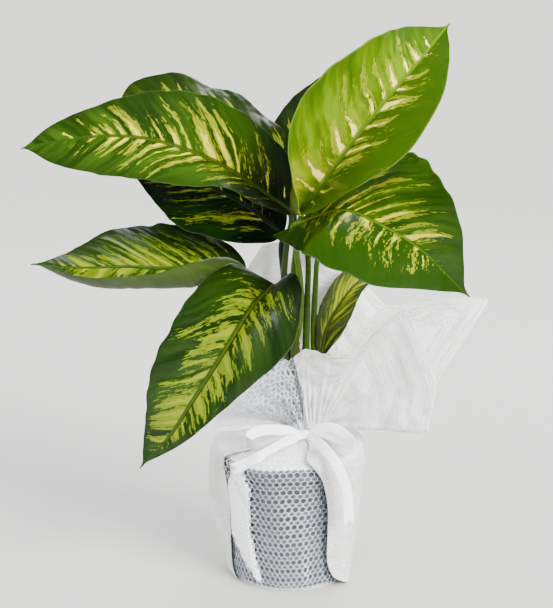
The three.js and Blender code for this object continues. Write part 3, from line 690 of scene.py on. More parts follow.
# ---- leaves
def blade_station(leaf, s):
    """Midrib point, direction, upper side and rightward way at s."""
    point, way = curve(leaf["rib"], s)
    way = unit(way)
    face = square_to(way, quadratic(leaf["face"], s))
    drip = np.clip((s - 0.975) / 0.025, 0, 1)[..., None]
    point = point + (way * TIP_POINT - face * TIP_HOOK * drip) * drip**2
    return point, way, face, np.cross(way, face)


def half_width(side, s):
    rounding = np.sqrt(np.clip(4 * s * (1 - s), 0, 1)) * (1 - np.exp(-(1 - s) / TIP_TAPER))
    uneven = 1 + 0.03 * side["uneven"] * relief(s, 0 * s, sum(side["widths"]), 0.07, 0.3, 9)
    return np.maximum(ramp(side["widths"], s) * rounding * uneven, 0.5)


def half_blade(leaf, side, sign, s, t, ripple, seed):
    """Points of one half: s from base to tip, t from the midrib to the margin."""
    point, way, face, right = blade_station(leaf, s)
    width = half_width(side, s)
    fold = np.radians(quadratic(side["fold"], s))
    furl, furl_reach = side["furl"]
    curl = np.radians(quadratic(side["curl"], s))
    curl = curl + np.radians(furl) * np.maximum(1 - s / furl_reach, 0) ** 1.25
    curl = np.where(np.abs(curl) < 1e-3, 1e-3, curl)
    reach = width / curl * (np.sin(fold + curl * t) - np.sin(fold))
    lift = width / curl * (np.cos(fold) - np.cos(fold + curl * t))

    # the wave of the margin, the hollows between the side veins, and the groove over the midrib
    ends = np.sqrt(np.sin(math.pi * np.clip(s, 0, 1)) + 1e-9)
    height, count, phase = side["wave"]
    lift = lift + height * np.sin(TURN * (count * s + phase)) * t**2 * ends
    length = curve_length(leaf["rib"])
    vein = s * length - 0.82 * t * width
    hollow = smooth(t * width, 0, 9) * smooth(t, 1.0, 0.86) * ends
    swing = np.sin(TURN * vein / 24 + seed) + 0.5 * np.sin(TURN * vein / 13.7 + 2 * seed)
    uneven = 1 + 0.6 * relief(vein, 40 * sign + 0 * t, seed, 40, 90, 5)
    lift = lift + ripple * hollow * swing * uneven
    rumple = 0.5 * relief(s * length, t * width + 200 * sign, seed, 9, 40)
    lift = lift + rumple * smooth(t, 0.7, 1.0) * ends
    lift = lift - 0.7 * hump(t * width, 0, 1.6) * (1 - s) ** 0.5
    back = side["lobe"] * (1 - s) ** 4 * t**1.5
    return point + sign * right * reach[..., None] + face * lift[..., None] - way * back[..., None]


def blade(name, leaf, look):
    length = curve_length(leaf["rib"])

    def spread(u, v):
        """Way along the midrib, way out from it, and which half, with rows closer at the ends."""
        s = 0.45 * u + 0.55 * (0.5 - 0.5 * np.cos(math.pi * u))
        return np.broadcast_arrays(s, np.abs(1 - 2 * v), v < 0.5)

    def place(u, v):
        s, t, is_right = spread(u, v)
        sides = [half_blade(leaf, leaf[key], sign, s, t, look["ripple"], look["seed"])
                 for key, sign in (("right", 1), ("left", -1))]
        return np.where(is_right[..., None], *sides)

    def maps(u, v):
        s, t, is_right = spread(u, v)
        width = np.where(is_right, half_width(leaf["right"], s), -half_width(leaf["left"], s))
        return {"flat": (s * length * DM, width * t * DM),
                "share": (s, 0.5 + np.where(is_right, 0.5, -0.5) * t)}

    obj = skin(name + "_blade", BLADE_ROWS, BLADE_COLUMNS, place, maps)
    return thicken(obj, BLADE_THICKNESS, -1, 1)


def cane_axis(path, z):
    lines = np.transpose(path)
    return [np.interp(z, lines[2], line) for line in lines]


def stalk(name, leaf):
    """The stalk from the cane, which runs on as the midrib under the blade to near its tip."""
    s = np.linspace(0.0, 0.94, 9)
    point, _, face, _ = blade_station(leaf, s)
    thick = 2.2 * (1 - s) ** 0.7 + 0.35
    under = point - face * (0.35 * thick + 0.55)[:, None]
    start = leaf["stalk"][0]
    low = start[2] - STALK_DROP
    axes = [cane_axis(path, low) for _, path in CANES.values()]
    axis = min(axes, key=lambda spot: math.dist(spot[:2], start[:2]))
    foot = [a + 0.62 * (b - a) for a, b in zip(axis[:2], start)] + [low]
    points = np.vstack([foot, leaf["stalk"], under])
    spans = len(points) - 1
    neck = (len(leaf["stalk"]) + 0.6) / spans
    foot_radius = leaf.get("foot_radius", STALK_FOOT_RADIUS)

    def radius(u, v):
        below = foot_radius + (STALK_NECK_RADIUS - foot_radius) * smooth(u, 0, neck)
        below = below * (0.25 + 0.75 * np.clip(u * spans / 1.1, 0, 1) ** 0.6)
        on = np.clip((u - neck) / (1 - neck), 0, 1)
        channel = hump(v, 0.5, 0.1) * smooth(u, 1.2 * neck, 0.7 * neck)
        return np.where(u < neck, below, 2.5 * (1 - on) ** 0.8 + 0.3) * (1 - 0.16 * channel)

    return tube(name + "_stalk", points, radius, 90, 14)


for leaf_name, leaf_form in LEAVES.items():
    leaf_look = {**COMMON_LOOK, **LOOKS[leaf_name]}
    dress(blade(leaf_name, leaf_form, leaf_look), leaf_look["slot"], leaf_name,
          *leaf_materials(leaf_name, leaf_look))
    dress(stalk(leaf_name, leaf_form), leaf_look["slot"], leaf_name,
          stalk_material(leaf_name + "_stalk", *leaf_look["stalk"]))


# ---- canes
def cane(name, radius, path):
    """One cane, a little thicker at each leaf scar."""
    scars = round((path[-1][2] - path[0][2]) / CANE_NODE)

    def size(u, v):
        return radius + 0.6 * np.maximum(0, np.cos(TURN * u * scars)) ** 6

    return tube(name + "_stem", path, size, 110, 20)


def cane_material():
    n = Material("cane_skin", Coat_Weight=0.08, Coat_Roughness=0.3)
    along, turn = n.uv("flat")
    mottle = n.noise((along * 22.0, turn * 9.0), 1.0, 4.0, 0.6)
    ring = abs(n.math("COSINE", along * (math.pi / (CANE_NODE * DM)))) ** 30.0
    green = n.mix(n.between(mottle, 0.35, 0.65), leaf_tint(70, 92, 26), leaf_tint(118, 134, 58))
    return n.shade(Base_Color=n.mix(ring * 0.7, green, leaf_tint(150, 138, 92)),
                   Roughness=n.between(mottle, 0.3, 0.7, 0.4, 0.6),
                   Normal=n.bump(mottle, 0.0005, 0.5))


CANE_SKIN = cane_material()
for cane_name, (cane_radius, cane_path) in CANES.items():
    dress(cane(cane_name, cane_radius, cane_path), "cane", cane_name, CANE_SKIN)


# ---- pot and soil
def pot():
    """The pot's outside, turned from a profile and thickened inwards, with its drain holes."""
    top = POT_FLOOR + POT_HEIGHT
    lip = top - POT_LIP_DROP
    below_lip = POT_BASE_RADIUS + (POT_TOP_RADIUS - POT_BASE_RADIUS) * 0.93
    profile = [
        (0, POT_FLOOR + 1.5), (16, POT_FLOOR + 1.5),
        (DRAIN_RING[0], POT_FLOOR + 0.4), (DRAIN_RING[1], POT_FLOOR + 0.4),
        (POT_BASE_RADIUS - 3, POT_FLOOR + 0.3), (POT_BASE_RADIUS - 0.6, POT_FLOOR + 1.2),
        (POT_BASE_RADIUS + 0.1, POT_FLOOR + 4), (below_lip - 0.4, lip - 1),
        (POT_LIP_RADIUS - 0.4, lip + 0.2), (POT_LIP_RADIUS, lip + 1.4),
        (POT_LIP_RADIUS, top - 1.2), (POT_LIP_RADIUS - 0.8, top - 0.2)]
    bm = bmesh.new()
    verts = [bm.verts.new((r * MM, 0, z * MM)) for r, z in profile]
    edges = [bm.edges.new(pair) for pair in zip(verts, verts[1:])]
    bmesh.ops.spin(bm, geom=verts + edges, cent=(0, 0, 0), axis=(0, 0, 1), angle=TURN, steps=96,
                   use_merge=True)
    bmesh.ops.remove_doubles(bm, verts=bm.verts, dist=1e-6)
    bmesh.ops.recalc_face_normals(bm, faces=bm.faces)
    drains = []
    for face in bm.faces:
        spot = face.calc_center_median().xy
        turn = math.atan2(spot.y, spot.x) % (TURN / DRAIN_COUNT)
        if DRAIN_RING[0] < spot.length / MM < DRAIN_RING[1] and turn < math.radians(DRAIN_SPAN):
            drains.append(face)
    bmesh.ops.delete(bm, geom=drains, context="FACES")
    obj = add_object("pot_wall", bm)
    if sum(p.normal.xy.dot(p.center.xy) for p in obj.data.polygons) < 0:
        obj.data.flip_normals()
    return thicken(obj, POT_WALL, -1)


def pot_material():
    n = Material("pot_plastic")
    spot = n.place()
    x, y, z = n.split(spot)
    dust = n.noise(spot, 60.0, 4.0, 0.6)
    scuff = n.noise((x * 40.0, y * 40.0, z * 400.0), 1.0, 2.0)
    grey = n.mix(n.between(dust, 0.35, 0.7), tint(66, 70, 77), tint(84, 88, 95))
    return n.shade(Base_Color=grey, Roughness=n.between(scuff, 0.3, 0.7, 0.38, 0.6),
                   Normal=n.bump(n.noise(spot, 900.0, 2.0), 0.0002, 0.4))


dress(pot(), "pot_plastic", "nursery_pot", pot_material())


def soil_material():
    n = Material("potting_soil", Roughness=0.95)
    spot = n.place()
    crumbs = n.put("TexVoronoi", "Distance", {"Vector": spot, "Scale": 260.0})
    lumps = n.noise(spot, 120.0, 5.0, 0.7)
    colour = n.mix(n.between(lumps, 0.35, 0.65), tint(34, 22, 14), tint(86, 62, 42))
    chips = n.between(n.noise(spot, 75.0, 1.0), 0.66, 0.68)
    return n.shade(Base_Color=n.mix(chips, colour, tint(196, 188, 172)),
                   Normal=n.bump(crumbs + lumps, 0.002))


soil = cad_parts["potting_soil"]
soil.data.materials.clear()
soil.data.materials.append(soil_material())

# ---- net
# radius and height, up the pot and in to the neck
NET_PROFILE = [
    [40, 1.7], [57, 1.7], [58.6, 5], [60.5, 34], [63.5, 72], [67, 108], [69.9, 120], [69.9, 130],
    [66, 133], [50, 137], [33, 141.5], [19, 146], [NET_NECK_RADIUS, 149.5],
    [NET_NECK_RADIUS, NECK_TOP],
]
# points round the frill's edge
NET_EDGE = [
    [47, -2, 232], [42, 10, 236], [30, 18, 240], [15, 22, 240], [-2, 20, 238], [-18, 10, 232],
    [-34, 0, 214], [-48, -16, 200], [-66, -44, 184], [-54, -62, 207], [-26, -60, 240],
    [4, -32, 246], [26, -32, 244], [42, -18, 236],
]
NET_FRILL = 92.0  # length of the net above the neck
# a doubled flap of net at the front left: its height, and its two edges and the crease across it,
# each in degrees at heights
PLEAT_HEIGHT = 3.5
PLEAT_FROM = [[4, 238], [20, 222], [46, 203], [60, 199]]
PLEAT_TO = [[6, 242], [35, 238], [60, 235.5], [75, 238], [105, 236.5], [125, 230]]
PLEAT_CREASE = [[86, 229], [104, 221], [126, 212]]
PLEAT_CORNER = ([88, 132, 146], [196, 214, 219])  # heights, and where its dense cloth starts
NET_COLUMNS = 64
NET_PITCH = 6.5  # from hole to hole round the pot
NET_ROW = 4.68  # from row to row; every second row is half a pitch aside and has smaller holes
NET_OPEN = ((0.68, 0.9), (0.42, 0.42))  # how open the large and small holes are, across and up


def pleat_share(angle, z):
    """1 on the doubled flap of the net, 0 beside it."""
    start, to = (np.interp(z, *np.transpose(edge)) for edge in (PLEAT_FROM, PLEAT_TO))
    return smooth(angle, start, start + 3) * smooth(angle, to, to - 3)


def net_surface():
    """The net as a function of its own flat lengths, x round the pot and y from under it to its
    edge; returns the function and the whole length."""
    profile = curve(NET_PROFILE, np.linspace(0, 1, 400))[0]
    share, body_length = travelled(profile)

    def place(x, y):
        turn = x / (NET_COLUMNS * NET_PITCH)
        angle = 360 * turn
        a = np.radians(angle)
        here = np.clip(y / body_length, 0, 1)
        radius, z = (np.interp(here, share, line) for line in profile.T)
        shift = np.clip((z - 130) / 20, 0, 1)
        pleat = PLEAT_HEIGHT * pleat_share(angle, z) * smooth(z, 3, 8) * smooth(z, 133, 128)
        crease = hump(angle, np.interp(z, *np.transpose(PLEAT_CREASE)), 1.7)
        pleat = pleat - 3 * crease * smooth(z, 84, 92) * smooth(z, 129, 124)
        round_x, round_y = 66 * np.cos(a), 66 * np.sin(a)
        slack = 0.8 * relief(round_x + 0.3 * z, round_y - 0.2 * z, 4, 22, 70)
        slack = np.clip(slack * smooth(z, 2, 20) * smooth(z, 132, 120), -0.6, 1.4)
        drape = (1.2 * smooth(z, 100, 20) * hump(angle, 262, 5)
                 + 2.4 * hump(angle - 284 + 0.05 * z, 0, 6) - 1.2 * hump(angle, 300, 6))
        drape = drape * smooth(z, 2, 12) * smooth(z, 126, 100)
        bunch = smooth(z, 132, 146) * (0.8 * np.cos(24 * a) + 0.4 * np.cos(41 * a))
        r = radius + pleat + slack + drape + bunch
        tie = points_at(NECK_X * shift + r * np.cos(a), r * np.sin(a), z)

        out = np.clip((y - body_length) / NET_FRILL, 0, 1)
        edge = curve(NET_EDGE, turn % 1.0, closed=True)[0]
        handle = tie + (edge - tie) * 0.3 + np.array([0, 0, 14.0])
        frill = bend(tie, handle, edge, out[..., None])
        rumple = (2.0 * creases(round_x + y, round_y - y, 8, 14, 50)
                  + 1.6 * np.cos(19 * a + 0.02 * y) + np.cos(31 * a)) * smooth(out, 0, 0.25)
        frill = frill + points_at(np.cos(a), np.sin(a), 0) * rumple[..., None] * 0.8
        rise = 2.2 * relief(round_x - y, round_y + 0.5 * y, 21, 8, 30) * smooth(out, 0.1, 0.5)
        frill = frill + points_at(0, 0, rise)
        return np.where(out[..., None] > 0, frill, tie)

    return place, body_length + NET_FRILL


def net_cell():
    """One six-sided cell of the net with its hole, a pitch wide and a row and a third high."""
    bm = bmesh.new()
    hole = bm.verts.layers.int.new("hole")
    weave = bm.loops.layers.uv.new("weave")
    bm.loops.layers.uv.new("flat")
    bmesh.ops.create_circle(bm, cap_ends=True, radius=1, segments=6)
    bmesh.ops.scale(bm, verts=bm.verts, vec=(0.5 / math.cos(math.pi / 6), 2 / 3, 1))
    middle = bm.faces[:]
    bmesh.ops.inset_individual(bm, faces=middle, thickness=0.1)
    for vert in middle[0].verts:
        vert[hole] = 1
    bmesh.ops.delete(bm, geom=middle, context="FACES_ONLY")
    return bm, hole, weave


def open_hole(verts, middle, size):
    """Set the verts round a hole on an oval."""
    for vert in verts:
        x, y = vert.co.x - middle[0], vert.co.y - middle[1]
        turn = math.radians(30) * round(math.degrees(math.atan2(y * 1.5, x * 1.732)) / 30)
        vert.co = (middle[0] + 0.5 * size[0] * math.cos(turn),
                   middle[1] + size[1] / 1.5 * math.sin(turn), 0)


def everything(bm):
    return bm.verts[:] + bm.edges[:] + bm.faces[:]


def new_verts(geom):
    return [item for item in geom if isinstance(item, bmesh.types.BMVert)]


def duplicate(bm, geom, way):
    verts = new_verts(bmesh.ops.duplicate(bm, geom=geom)["geom"])
    bmesh.ops.translate(bm, verts=verts, vec=way)
    return verts


def net_lattice(height):
    """The flat lattice, counted in columns and rows: small holes are marked 2, large ones 1."""
    bm, hole, weave = net_cell()
    small = [vert for vert in duplicate(bm, everything(bm), (0.5, 1, 0)) if vert[hole]]
    open_hole(small, (0.5, 1), NET_OPEN[1])
    for vert in small:
        vert[hole] = 2
    ring = [edge for edge in bm.edges if all(vert[hole] == 1 for vert in edge.verts)]
    for vert in new_verts(bmesh.ops.subdivide_edges(bm, edges=ring, cuts=1)["geom_inner"]):
        vert[hole] = 1
    open_hole([vert for vert in bm.verts if vert[hole] == 1], (0, 0), NET_OPEN[0])
    for face in bm.faces:
        for loop in face.loops:
            loop[weave].uv = (1 if loop.vert[hole] == 0 else 0, 0)
    pair = everything(bm)
    for i in range(1, NET_COLUMNS):
        duplicate(bm, pair, (i, 0, 0))
    bmesh.ops.remove_doubles(bm, verts=bm.verts, dist=1e-4)
    rows = everything(bm)
    for i in range(1, int(height / NET_ROW / 2)):
        duplicate(bm, rows, (0, 2 * i, 0))
    bmesh.ops.remove_doubles(bm, verts=bm.verts, dist=1e-4)
    return bm, hole, weave


def net():
    """The lattice laid over the net's surface, its holes closed where the cloth is dense."""
    place, height = net_surface()
    bm, hole, weave = net_lattice(height)
    spots = np.array([v.co[:2] for v in bm.verts])
    holes = np.array([v[hole] for v in bm.verts])
    aside = 0.5 * (holes == 2)
    row = 2 * np.round(spots[:, 1] / 2 - aside) + 2 * aside
    centre = np.stack([np.round(spots[:, 0] - aside) + aside, row], -1)
    angle = 360 * spots[:, 0] / NET_COLUMNS
    way = row * NET_ROW
    corner = np.interp(way, *PLEAT_CORNER)
    dense = 0.92 * pleat_share(angle, way - 17) * smooth(way, 160, 150)
    dense = dense * smooth(angle, corner - 3, corner + 2)
    dense = np.maximum(dense, 0.9 * smooth(way, 141, 149) * (1 - 0.5 * smooth(way, 212, 225)))
    spots = centre + (spots - centre) * np.where(holes > 0, 1 - dense, 1)[:, None]
    turn = TURN * spots[:, 0] / NET_COLUMNS
    spots[:, 0] += 0.45 * np.sin(2 * turn + spots[:, 1] / 9) * smooth(spots[:, 1], 30, 20)
    spots[:, 1] += 2 / 3 + 0.3 * np.sin(5 * turn + spots[:, 1] / 12) * smooth(spots[:, 1], 0, 4)
    points = place(spots[:, 0] * NET_PITCH, spots[:, 1] * NET_ROW) * MM
    flat = bm.loops.layers.uv["flat"]
    bm.verts.index_update()
    for face in bm.faces:
        for loop in face.loops:
            loop[flat].uv = spots[loop.vert.index]
            loop[weave].uv = (loop[weave].uv[0], dense[loop.vert.index])
    for vert, point in zip(bm.verts, points):
        vert.co = point
    bmesh.ops.remove_doubles(bm, verts=bm.verts, dist=1e-6)
    return thicken(add_object("net_wrap", bm), NET_THICKNESS, 0)


def net_material():
    """Threads along the borders of the cells and round their holes, and a thin veil between; a
    painted highlight runs down the front fold, with painted shade in bands beside it.
    """
    n = Material("net_threads", Roughness=0.7)
    radial, dense = n.uv("weave")
    x, y = n.uv("flat")
    fuzz = n.noise((x * 9.0, y * 6.0), 1.0, 3.0, 0.7)
    at = radial + (fuzz - 0.5) * 0.3
    thread = n.most(n.between(at, 0.7, 0.92) * 0.78, n.between(at, 0.18, 0.04) * 0.35)
    wash = n.noise((x * 0.28, y * 0.05, 3.0), 1.0, 2.0)
    # painted highlight: a brighter, denser band down the fold at column 50.2
    fold = 1.0 - abs((x - 50.2) / 2.6)
    veil = n.between(wash, 0.4, 0.66, -0.25, 0.22) + n.most(fold, 0.0) * 0.3
    body = n.most(thread, veil + (fuzz - 0.5) * 0.3)
    # painted shade: the net thins and greys in bands beside that fold
    beside = n.between(abs(x - 53.7), 2.6, 0.6) + n.between(abs(x - 43.6), 3.0, 0.8) * 0.7
    body = body * (1.0 - beside * 0.34)
    body = n.most(body, n.between(dense, 0.25, 0.9))
    return n.shade(Base_Color=n.mix(body, tint(172, 181, 192), tint(240, 241, 244)),
                   Alpha=n.between(body, 0.0, 1.0, 0.04, 0.97, "LINEAR"),
                   Normal=n.bump(body + fuzz * 0.4, 0.0004, 0.6))


net_piece = dress(net(), "net", "net_sheet", net_material())

# ---- nonwoven sheet
# radius, height, and the angles of the right and the left hem
WRAP_PROFILE = [
    [59.5, 0.5, -30, 214], [62.8, 3, -36, 207], [66.5, 14, -50, 200], [71, 34, -55, 202],
    [75, 62, -56, 206], [78.5, 92, -58, 208], [80, 118, -64, 206], [78, 136, -70, 205],
    [71, 144.5, -74, 207], [52, 145.5, -77, 211], [34, 146, -80, 216], [24, 147.2, -83, 221],
    [19, 149.5, -85, 225], [WRAP_NECK_RADIUS, 152.5, -85, 225],
    [WRAP_NECK_RADIUS, NECK_TOP + 0.5, -85, 225],
]
# radius and height where the hems lie against the net
WRAP_SNUG = [
    [59.5, 0.5], [61.5, 3], [62.5, 14], [64.5, 34], [67, 62], [70, 92], [72.8, 118], [73.5, 129],
    [70.5, 135], [52, 139.5], [35, 143.5], [25, 146.5], [19, 149.5], [WRAP_NECK_RADIUS, 152.5],
    [WRAP_NECK_RADIUS, NECK_TOP + 0.5],
]
# points along the upper edge, from the right hem to the left
WRAP_EDGE = [
    [3, -40, 238], [14, -46, 250], [38, -54, 245], [60, -60, 245], [109, -75, 297],
    [143, -60, 218], [135, -58, 168], [112, -26, 159], [155, 0, 213], [202, 20, 283],
    [154, 35, 282], [98, 46, 272], [62, 56, 311], [13, 61, 337], [-28, 58, 332], [-51, 48, 297],
    [-91, 20, 251], [-126, -8, 201], [-118, -30, 170], [-81, -48, 166],
]
WRAP_LEAN = -4.5
WRAP_ACROSS = 480  # the cloth's width for its folds and its map, and its length for its map
WRAP_ALONG = 360
HEM_CORNER = 8
FLARE_LIFT = 18
FLARE_LENGTH = 160
WRAP_BODY_ROWS = 90
WRAP_FLARE_ROWS = 76
WRAP_ROWS = WRAP_BODY_ROWS + WRAP_FLARE_ROWS
WRAP_COLUMNS = 240


def wrap():
    """The nonwoven sheet: drawn up round the pot, tied in at the neck and flaring above it."""
    fine = np.linspace(0, 1, 400)
    profile = curve(WRAP_PROFILE, fine)[0]
    snug = curve(WRAP_SNUG, fine)[0]
    share, body_length = travelled(profile[:, :2])
    corners = np.linspace(0, 1, len(WRAP_EDGE))

    def place(u, v):
        step = u * WRAP_ROWS
        here = np.clip(step / WRAP_BODY_ROWS, 0, 1)
        radius, z, right_hem, left_hem = (np.interp(here, share, line) for line in profile.T)
        tuck = np.maximum(smooth(v, 0.88, 0.98), 0.7 * smooth(v, 0.06, 0.0))
        radius = radius + (np.interp(here, share, snug[:, 0]) - radius) * tuck
        z = z + (np.interp(here, share, snug[:, 1]) - z) * tuck
        angle = right_hem + (left_hem - right_hem) * v
        a = np.radians(angle)
        shift = smooth(radius, 70, 24) * smooth(z, 100, 140)
        bulge = np.sin(math.pi * np.clip(z / 146, 0, 1))
        depth = 1.1 + 0.9 * np.clip(np.sin(a), 0, 1)
        folds = depth * bulge * np.sin(np.radians(9 * angle))
        folds = folds + 0.6 * shift * np.cos(np.radians(14 * angle))
        folds = folds + 0.5 * relief(WRAP_ACROSS * v, here * body_length, 31, 16, 60) * bulge
        gather = smooth(z, 142, 149) * (0.9 * np.cos(np.radians(33 * angle))
                                        + 0.6 * np.cos(np.radians(21 * angle + 40)))
        corner = HEM_CORNER * np.maximum(1 - z / 30, 0) * hump(v * 36, 0, 2.5)
        r = radius + (folds * (1 - tuck) + gather) + corner
        lean = WRAP_LEAN * bulge * (1 - tuck)
        tie = points_at(lean + NECK_X * shift + r * np.cos(a), r * np.sin(a), z)

        o = np.clip((step - WRAP_BODY_ROWS) / WRAP_FLARE_ROWS, 0, 1) + 0 * v
        straight = points_at(*(np.interp(v, corners, line) for line in np.transpose(WRAP_EDGE)))
        edge = 0.8 * straight + 0.2 * curve(WRAP_EDGE, v)[0]
        lift = FLARE_LIFT * smooth(edge[..., 2:], 168, 230) * np.array([0, 0, 1])
        flare = bend(tie, tie + (edge - tie) * 0.45 + lift, edge, o[..., None])
        points = np.where(o[..., None] > 0, flare, tie)
        pleats = 2.2 * np.sin(TURN * (30 * v + 0.6 * np.sin(9 * v)))
        pleats = pleats * smooth(o, 0.0, 0.12) * smooth(o, 0.75, 0.1)
        x, y = WRAP_ACROSS * v, FLARE_LENGTH * o
        rumple = 1.5 * creases(x, y, 41, 26, 90) * smooth(o, 0.1, 0.4)
        rumple = rumple + 0.5 * relief(x, y, 43, 8, 30) * smooth(o, 0.05, 0.3)
        normal = unit(np.cross(np.gradient(points, axis=0), np.gradient(points, axis=1)))
        return points + normal * (pleats + rumple)[..., None]

    def maps(u, v):
        return {"flat": (v * WRAP_ACROSS * DM, u * WRAP_ALONG * DM)}

    return thicken(skin("wrap_sheet", WRAP_ROWS, WRAP_COLUMNS, place, maps), WRAP_THICKNESS, 0)


def wrap_base():
    """The part of the sheet drawn flat under the pot."""
    radius, top, thickness = WRAP_BASE
    bm = bmesh.new()
    bmesh.ops.create_circle(bm, cap_ends=True, radius=radius * MM, segments=96)
    bmesh.ops.translate(bm, verts=bm.verts, vec=(0, 0, top * MM))
    return thicken(add_object("wrap_base", bm), thickness, -1)


def nonwoven_material():
    """Matted fibres, which let a little light through; painted shade makes them greyer below the
    neck than above it.
    """
    n = Material("nonwoven_fibre", Roughness=0.75)
    spot = n.place()
    squeezed = n.put("Mapping", 0, {"Vector": spot, "Scale": (500.0, 500.0, 900.0)})
    fibre = n.noise(squeezed, 1.0, 4.0, 0.7)
    cloud = n.noise(spot, 45.0, 4.0, 0.6)
    across, along = n.uv("flat")
    crinkle = n.noise((across * 12.0, along * 34.0), 1.0, 3.0, 0.6, 1.2)
    # painted shade: below the neck the sheet takes a greyer white than the flare above
    high = n.between(n.split(spot)[2], 0.12, 0.16)
    patch = n.between(cloud, 0.3, 0.7)
    grey = n.mix(patch, tint(216, 215, 213), tint(228, 227, 226))
    white = n.mix(patch, tint(246, 245, 244), tint(254, 254, 253))
    thick = cloud * 0.6 + fibre * 0.4 + high * 0.08
    return n.shade(Base_Color=n.mix(high, grey, white),
                   Alpha=n.between(thick, 0.3, 0.7, 0.88, 0.99),
                   Normal=n.bump(fibre * 0.35 + crinkle, 0.003))


NONWOVEN = nonwoven_material()
wrap_piece = dress(wrap(), "nonwoven", "nonwoven_sheet", NONWOVEN)
base_piece = dress(wrap_base(), "nonwoven", "nonwoven_sheet", NONWOVEN)

# ---- ribbon bow
# the way up the ribbon's width at its start, middle and end, and points along its middle
BOW = {
    "bow_loop_left": (
        [[0, 0.2, 1], [-0.2, 0.1, 1], [0, 0.3, 1]],
        [[12, -25, 154], [-5, -33, 161], [-25, -40, 164], [-40, -49, 161], [-41, -58, 157],
         [-28, -64, 154], [-10, -52, 156], [10, -28, 154]]),
    "bow_loop_right": (
        [[0, 0.2, 1], [0.2, 0.1, 1], [0, 0.3, 1]],
        [[18, -25, 154], [28, -32, 162], [42, -40, 166], [57, -48, 159], [62, -58, 154],
         [53, -66, 152], [38, -60, 154], [20, -28, 154]]),
    "bow_tail_left": (
        [[0, 0.5, 0.9], [0.35, 0.2, 0.9], [0.3, 0.1, 0.9]],
        [[12, -27, 154], [-8, -58, 156], [-28, -80, 151], [-44, -77, 141], [-58, -73, 134]]),
    "bow_tail_right": (
        [[0, 0.5, 0.9], [0.9, 0.1, 0.5], [1, 0.4, 0]],
        [[18, -27, 154], [32, -60, 153], [46, -81, 139], [55, -78, 112], [58, -73, 75]]),
}
KNOT = (15, -24.5, 154)
KNOT_SIZE = (11, 8, 10)
BAND_RADIUS = 20.6
BAND_MIDDLE = 153.6
BAND_HEIGHT = 5.6
BAND_MAP_LENGTH = 1.3


def satin_material(name, dark, light, smoothest):
    """Fine floats across the ribbon; dark and light are levels of its white."""
    n = Material(name, Sheen_Weight=0.2)
    x, y = n.uv("flat")
    floats = n.noise((x * 4.0, y * 120.0), 1.0, 3.0, 0.6)
    soft = n.noise((x * 8.0, y * 6.0), 1.0, 2.0)
    white = n.mix(n.between(floats, 0.3, 0.7), tint(dark, dark, dark + 1),
                  tint(light, light, light))
    return n.shade(Base_Color=white, Normal=n.bump(floats, 0.0003, 0.35),
                   Roughness=n.between(soft, 0.3, 0.7, smoothest, smoothest + 0.16))


SATIN = satin_material("satin_face", 243, 254, 0.24)
# the ribbon's back is duller satin, and its grey is painted shade
SATIN_BACK_SHADED = satin_material("satin_back", 172, 194, 0.5)


def ribbon(name, up, line):
    """A strip of ribbon along a curve; the tails end in a swallowtail cut."""
    is_tail = "tail" in name
    length = curve_length(line)

    def place(u, v):
        s = u + 0 * v
        centre, way = curve(line, s)
        way = unit(way)
        across = square_to(way, quadratic(up, s))
        end = SWALLOWTAIL * is_tail * smooth(s, 0.75, 1.0) * (1 - np.abs(2 * v - 1))
        pinch = 1 - 0.45 * smooth(s, 0.12, 0.0)
        if not is_tail:
            pinch = pinch - 0.45 * smooth(s, 0.88, 1.0)
        cup = 0.7 * np.cos(math.pi * (v - 0.5)) * np.sin(math.pi * s) ** 0.5
        return (centre + across * ((v - 0.5) * RIBBON_WIDTH * pinch)[..., None]
                + np.cross(way, across) * cup[..., None] - way * end[..., None])

    def maps(u, v):
        return {"flat": (u * length * DM, v * RIBBON_WIDTH * DM)}

    return thicken(skin(name, 60, 10, place, maps), RIBBON_THICKNESS, 0, 1)


for ribbon_name, (ribbon_up, ribbon_line) in BOW.items():
    strip = ribbon(ribbon_name, ribbon_up, ribbon_line)
    strip_length = curve_length(ribbon_line)
    # the back with painted shade goes on the inner side, so the outer face stays bright
    faces = (SATIN_BACK_SHADED, SATIN) if "left" in ribbon_name else (SATIN, SATIN_BACK_SHADED)
    dress(strip, "satin", "ribbon_bow", *faces)


def knot():
    """The wrapped knot: a rounded cushion of ribbon with the folds of its turns."""
    wide, deep, high = KNOT_SIZE

    def place(u, v):
        lat, lon = math.pi * (u - 0.5), TURN * v
        swell = 1 + 0.07 * np.cos(3 * lat + 2) + 0.05 * np.cos(5 * lon)
        belly = np.cos(lat) ** 0.6
        x = 0.5 * wide * np.sin(lat)
        y = 0.5 * deep * belly * np.cos(lon) * swell
        z = 0.5 * high * belly * np.sin(lon) * swell
        return points_at(x, y, z) + np.array(KNOT)

    def maps(u, v):
        return {"flat": (v * 0.3, u * 0.1)}

    return skin("bow_knot", 24, 32, place, maps, closed=True, capped=True)


def band():
    """The turn of ribbon round the neck."""
    def place(u, v):
        a = TURN * u
        z = BAND_MIDDLE + BAND_HEIGHT * (v - 0.5) + 0.5 * np.sin(2 * a)
        r = BAND_RADIUS + 0.25 * np.cos(17 * a) + 0.3 * np.cos(math.pi * (v - 0.5))
        return points_at(NECK_X + r * np.cos(a), r * np.sin(a), z)

    def maps(u, v):
        return {"flat": (u * BAND_MAP_LENGTH, v * BAND_HEIGHT * DM)}

    return thicken(skin("bow_band", 120, 6, place, maps, closed=True), RIBBON_THICKNESS, 1)


dress(knot(), "satin", "ribbon_bow", SATIN)
band_piece = dress(band(), "satin", "ribbon_bow", SATIN)


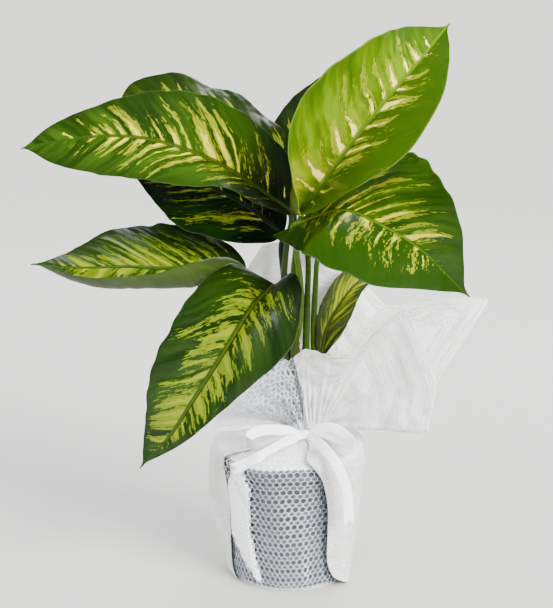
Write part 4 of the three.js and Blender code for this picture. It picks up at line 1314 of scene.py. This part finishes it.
# ---- floor, light and camera
WALLS = (0.96, 0.98, 1.0, 1)
WALLS_LIGHT = 2.5
WALLS_MIRRORED = 0.25
WALLS_SEEN = 2.05
LAMP_AIM = 0.3  # metres over the floor
LAMPS = {  # kind, place, power and further settings
    "window_light": ("SUN", (0.8, -0.85, 1.0), 10.5,
                     {"angle": math.radians(30), "color": (1.0, 0.985, 0.96)}),
    "soft_box": ("AREA", (-1.5, -0.2, 1.0), 12, {"shape": "DISK", "size": 0.6}),
    "rim_box": ("AREA", (0.4, 1.3, 1.3), 14, {"shape": "DISK", "size": 1.0}),
}
CAMERA_PLACE = (-0.0135, -1.5590, 0.6429)
CAMERA_TILT = 77
CAMERA_LENS = 94.74
CAMERA_SENSOR = 36


def floor():
    bm = bmesh.new()
    bmesh.ops.create_circle(bm, cap_ends=True, radius=30, segments=64)
    obj = add_object("floor", bm)
    n = Material("floor_paint", Roughness=0.7)
    grain = n.noise(n.place(), 300.0, 2.0)
    obj.data.materials.append(
        n.shade(Base_Color=n.mix(grain, tint(180, 179, 176), tint(186, 185, 182))))


def walls():
    """The studio's walls: bright to the eye, softer in what the leaves mirror."""
    world = bpy.data.worlds.new("studio")
    bpy.context.scene.world = world
    world.use_nodes = True
    n = Nodes(world.node_tree)
    way = n.signals(n.node("LightPath", {}).outputs)
    strength = n.blend(way["Is Glossy Ray"], WALLS_LIGHT, WALLS_MIRRORED)
    background = world.node_tree.nodes["Background"].inputs
    n.feed(background["Color"], WALLS)
    n.feed(background["Strength"], n.blend(way["Is Camera Ray"], strength, WALLS_SEEN))


def lamp(name, kind, spot, power, settings):
    light = bpy.data.lights.new(name, kind)
    light.energy = power
    for key, value in settings.items():
        setattr(light, key, value)
    obj = link(bpy.data.objects.new(name, light))
    obj.location = spot
    way = -obj.location.copy()
    way.z += LAMP_AIM
    obj.rotation_euler = way.to_track_quat("-Z", "Y").to_euler()
    obj.visible_glossy = kind == "AREA"


def camera():
    lens = bpy.data.cameras.new("view")
    lens.lens = CAMERA_LENS
    lens.sensor_width = CAMERA_SENSOR
    view = link(bpy.data.objects.new("view", lens))
    view.location = CAMERA_PLACE
    view.rotation_euler = (math.radians(CAMERA_TILT), 0, 0)
    bpy.context.scene.camera = view


floor()
walls()
for lamp_name, lamp_form in LAMPS.items():
    lamp(lamp_name, *lamp_form)
camera()
